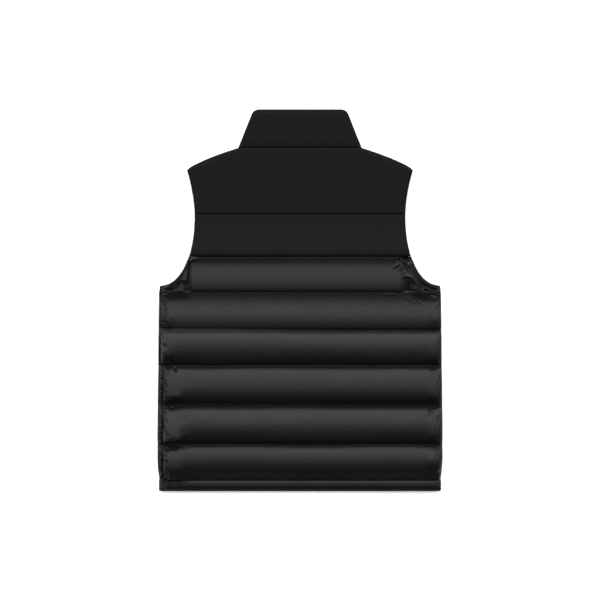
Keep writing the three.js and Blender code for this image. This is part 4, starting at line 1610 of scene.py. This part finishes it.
def seam_pucker_group() -> bpy.types.NodeTree:
    """Fine puckers along the left side seam and the left end of the hem's seam, as a height.

    Returns:
        The node group.
    """
    group, nodes, given, result = new_group(
        "seam_pucker",
        {"Side seam": -0.2735, "Side reach": 0.0085, "Side top": -0.118,
         "Hem level": -0.3640, "Hem reach": 0.0060, "Hem end": -0.215},
        {"Height": "Float"},
    )
    split = nodes.add("ShaderNodeSeparateXYZ", {0: given["Vector"]}).outputs

    def near(axis: int, place: str, reach: str) -> bpy.types.NodeSocket:
        """Marks a strip along a seam.

        Args:
            axis: the axis across it.
            place: the input that says where it is.
            reach: the input that says how wide it is.

        Returns:
            1 on the seam, falling to 0 at its reach.
        """
        away = nodes.maths("ABSOLUTE", nodes.maths("SUBTRACT", split[axis], given[place]))
        share = nodes.maths("DIVIDE", away, given[reach])
        left = nodes.maths("SUBTRACT", 1.0, nodes.maths("MULTIPLY", share, share))
        return nodes.maths("MAXIMUM", left, 0.0)

    def beyond(axis: int, place: str, pace: float, least: float) -> bpy.types.NodeSocket:
        """The least value before an input's place along an axis, rising to 1 below it."""
        below = nodes.maths("MULTIPLY", nodes.maths("SUBTRACT", given[place], split[axis]), pace)
        return nodes.maths("MINIMUM", nodes.maths("MAXIMUM", below, least), 1.0)

    def streaks(scale: tuple[float, float, float]) -> bpy.types.NodeSocket:
        """Noise that is stretched by its scale along each axis."""
        stretch = nodes.add("ShaderNodeVectorMath", {0: given["Vector"], 1: scale}, operation="MULTIPLY")
        return nodes.noise(stretch.outputs[0], 1.0, 2.0)

    side = nodes.maths("MULTIPLY", near(0, "Side seam", "Side reach"), streaks((110, 330, 60)))
    side = nodes.maths("MULTIPLY", side, beyond(1, "Side top", 50.0, 0.25))
    hem = nodes.maths("MULTIPLY", near(1, "Hem level", "Hem reach"), beyond(0, "Hem end", 40.0, 0.0))
    uneven = nodes.maths("SUBTRACT", streaks((380, 110, 60)), 0.5)
    hem = nodes.maths("MULTIPLY", nodes.maths("MULTIPLY", hem, 2.6), uneven)
    nodes.feed(result, {"Height": nodes.maths("ADD", side, hem)})
    return group


def toned_material(name: str, tone: Inputs, groups: dict[str, bpy.types.NodeTree]) -> tuple:
    """Starts a material whose colour and gloss shift slowly.

    Args:
        name: the material's name.
        tone: the inputs of its cloth_tone group.
        groups: the shared node groups by name.

    Returns:
        The material, its node helper, its shader and the socket of the place in metres.
    """
    material = bpy.data.materials.new(name)
    material.use_nodes = True
    nodes = Nodes(material.node_tree)
    place = nodes.add("ShaderNodeTexCoord").outputs["Object"]
    toned = nodes.add("ShaderNodeGroup", {"Vector": place, **tone}, node_tree=groups["cloth_tone"]).outputs
    shader = material.node_tree.nodes["Principled BSDF"]
    nodes.feed(shader, {"Base Color": toned["Colour"], "Roughness": toned["Roughness"]})
    return material, nodes, shader, place


@dataclass(frozen=True)
class ClothFinish:
    """A woven cloth: its colours, gloss, weave and crinkles."""

    name: str
    colour: tuple[float, float, float, float]
    cool_colour: tuple[float, float, float, float]
    roughness: float
    roughness_shift: float
    specular: float
    sheen: float
    thread_pitch: float
    weave_height: float
    crinkle_scale: float
    crinkle_height: float
    lint: float
    pucker_height: float = 0.0

    def make(self, groups: dict[str, bpy.types.NodeTree]) -> bpy.types.Material:
        """Builds the material.

        Args:
            groups: the shared node groups by name.

        Returns:
            The new material.
        """
        tone = {
            "Colour": self.colour, "Cool colour": self.cool_colour, "Roughness": self.roughness,
            "Roughness shift": self.roughness_shift, "Lint": self.lint,
        }
        material, nodes, shader, place = toned_material(self.name, tone, groups)
        layers = [
            ("cloth_crinkle", {"Scale": self.crinkle_scale}, self.crinkle_height),
            ("plain_weave", {"Thread pitch": self.thread_pitch}, self.weave_height),
        ]
        if self.pucker_height:
            layers.append(("seam_pucker", {}, self.pucker_height))
        normal = None
        for name, inputs, distance in layers:
            layer = nodes.add("ShaderNodeGroup", {"Vector": place, **inputs}, node_tree=groups[name])
            normal = nodes.bump(layer.outputs["Height"], distance, normal)
        nodes.feed(shader, {
            "Normal": normal, "Specular IOR Level": self.specular, "Sheen Weight": self.sheen,
            "Sheen Roughness": 0.5,
        })
        return material


@dataclass(frozen=True)
class HardFinish:
    """Coated metal or moulded plastic with slight scuffs."""

    name: str
    colour: tuple[float, float, float, float]
    metallic: float
    roughness: float

    def make(self, groups: dict[str, bpy.types.NodeTree]) -> bpy.types.Material:
        """Builds the material.

        Args:
            groups: the shared node groups by name.

        Returns:
            The new material.
        """
        tone = {
            "Colour": self.colour, "Cool colour": self.colour, "Roughness": self.roughness,
            "Roughness shift": 0.25, "Lint": 0.0,
        }
        material, nodes, shader, _ = toned_material(self.name, tone, groups)
        nodes.feed(shader, {"Metallic": self.metallic})
        return material


MATTE_CLOTH = ClothFinish(
    "matte_black_cloth", linear(17.3), linear(17.3, 2), roughness=0.9, roughness_shift=0.06, specular=0.02,
    sheen=0.0, thread_pitch=0.00055, weave_height=0.00004, crinkle_scale=14, crinkle_height=0.0003, lint=0.12,
)
GLOSSY_CLOTH = ClothFinish(
    "glossy_black_nylon", linear(13), linear(13, 2.5), roughness=0.30, roughness_shift=0.06, specular=0.125,
    sheen=0.0, thread_pitch=0.00035, weave_height=0.000015, crinkle_scale=38, crinkle_height=0.0004,
    lint=0.05, pucker_height=0.0042,
)
TAPE_CLOTH = ClothFinish(
    "woven_zip_tape", linear(16), linear(16, 2), roughness=0.8, roughness_shift=0.05, specular=0.15,
    sheen=0.05, thread_pitch=0.0007, weave_height=0.00008, crinkle_scale=20, crinkle_height=0.0001, lint=0.05,
)
THREAD = ClothFinish(
    "black_thread", linear(8), linear(8, 2), roughness=0.7, roughness_shift=0.05, specular=0.08,
    sheen=0.0, thread_pitch=0.0003, weave_height=0.00005, crinkle_scale=90, crinkle_height=0.0001, lint=0.0,
)
DARK_METAL = HardFinish("dark_coated_metal", linear(46), 1.0, 0.38)
DARK_PLASTIC = HardFinish("moulded_black_teeth", linear(16), 0.0, 0.35)


# Studio


@dataclass(frozen=True)
class Studio:
    """A pale floor, soft light from beyond the collar and a camera straight above."""

    frame_width: float = 1.2
    camera_height: float = 6.0
    focus_height: float = 0.015
    sensor: float = 36.0
    light_height: float = 30.0
    light_falloff: float = 2.8
    light_strength: float = 5.4
    light_colour: tuple[float, float, float, float] = (0.985, 0.970, 1.035, 1.0)

    def make_floor(self) -> None:
        """A plain pale floor."""
        bpy.ops.mesh.primitive_plane_add(size=12)
        floor = bpy.context.object
        floor.name = "studio_floor"
        material = bpy.data.materials.new("pale_floor")
        material.use_nodes = True
        Nodes(material.node_tree).feed(material.node_tree.nodes["Principled BSDF"], {
            "Base Color": (0.9, 0.9, 0.9, 1), "Roughness": 0.9, "Specular IOR Level": 0.0,
        })
        floor.data.materials.append(material)

    def make_light(self) -> None:
        """Soft light all round that is strong beyond the collar and weak beyond the hem."""
        world = bpy.data.worlds.new("soft_studio")
        world.use_nodes = True
        nodes = Nodes(world.node_tree)
        height = math.radians(self.light_height)
        place = nodes.add("ShaderNodeTexCoord").outputs["Generated"]
        inputs = {0: place, 1: (0, math.cos(height), math.sin(height))}
        towards = nodes.add("ShaderNodeVectorMath", inputs, operation="DOT_PRODUCT").outputs["Value"]
        level = nodes.maths("ADD", nodes.maths("MULTIPLY", towards, 0.5), 0.5)
        fade = nodes.maths("POWER", nodes.maths("MAXIMUM", level, 0.0), self.light_falloff)
        strength = nodes.maths("MULTIPLY", fade, self.light_strength)
        nodes.feed(world.node_tree.nodes["Background"], {"Color": self.light_colour, "Strength": strength})
        bpy.context.scene.world = world

    def make_camera(self) -> None:
        """A long lens straight above the vest, with the photo's frame."""
        lens = bpy.data.cameras.new("camera")
        lens.sensor_width = self.sensor
        lens.lens = self.sensor * (self.camera_height - self.focus_height) / self.frame_width
        lens.clip_end = 50
        camera = bpy.data.objects.new("camera", lens)
        camera.location = (0, 0, self.camera_height)
        bpy.context.scene.collection.objects.link(camera)
        bpy.context.scene.camera = camera

    def build(self) -> None:
        """Sets up floor, light and camera."""
        self.make_floor()
        self.make_light()
        self.make_camera()
        bpy.context.scene.view_settings.view_transform = "Standard"


def seam_rows(back: BackBody) -> Stitching:
    """Stitches along the channels of the back and of both fronts.

    Args:
        back: the quilted back, which says how high its seams lie.

    Returns:
        The stitching, not built yet.
    """
    thread = Stitching("stitching", Slot.GLOSSY)
    lift = 0.0001
    for number, channel in enumerate(PATTERN.channels[1:], start=1):
        x = np.linspace(-0.270, 0.281, 400)
        y = channel.top + seam_drift(number, x)
        thick = back.thickness(x, y, number, np.zeros(x.shape))
        thread.add_row(points_of(x, y, PATTERN.back_floor(y) + thick + lift))
        for side in Side:
            front_x = side.value * np.linspace(0.011, 0.279, 200)
            front_z = PATTERN.front_ceiling(channel.top) - PATTERN.seam_thickness - lift
            thread.add_row(points_of(front_x, channel.top, front_z))
    return thread


def main() -> None:
    """Builds the vest and its studio."""
    logging.basicConfig(level=logging.INFO, format="%(name)s: %(message)s")
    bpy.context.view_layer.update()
    Studio().build()
    groups = {group.name: group for group in (
        weave_group(), cloth_tone_group(), crinkle_group(), seam_pucker_group())}
    finishes = {finish.name: finish.make(groups) for finish in (
        MATTE_CLOTH, GLOSSY_CLOTH, TAPE_CLOTH, THREAD, DARK_METAL, DARK_PLASTIC)}
    cloths = {Slot.MATTE: finishes[MATTE_CLOTH.name], Slot.GLOSSY: finishes[GLOSSY_CLOTH.name]}
    back = BackBody("back_body_cloth", "back_body", Slot.GLOSSY, 0.8)
    panels: list[Panel] = [
        back,
        BackYoke("back_yoke_cloth", "back_yoke", Slot.MATTE, 0.3),
        make_collar(),
        make_hem_band(),
    ]
    for side in Side:
        label = side.name.lower()
        panels += [
            FrontBody(f"front_body_cloth_{label}", f"front_body_{label}", Slot.GLOSSY, 0.6,
                      side=side, back=back),
            FrontYoke(f"front_yoke_cloth_{label}", f"front_yoke_{label}", Slot.MATTE, 0.3, side=side),
        ]
    for panel in panels:
        panel.build()
        panel.dress(cloths[panel.slot])
        log.info("%s: %d faces", panel.name, len(panel.made.data.polygons))
    stitching = seam_rows(back).build()
    stitching.data.materials.append(finishes[THREAD.name])
    log.info("stitching: %d faces", len(stitching.data.polygons))
    zip_closure = Zip()
    zip_closure.build()
    zip_closure.dress(finishes[TAPE_CLOTH.name], finishes[DARK_PLASTIC.name], finishes[DARK_METAL.name])
    log.info("zip: %d teeth faces", len(zip_closure.teeth.data.polygons))


if __name__ == "__main__":
    main()
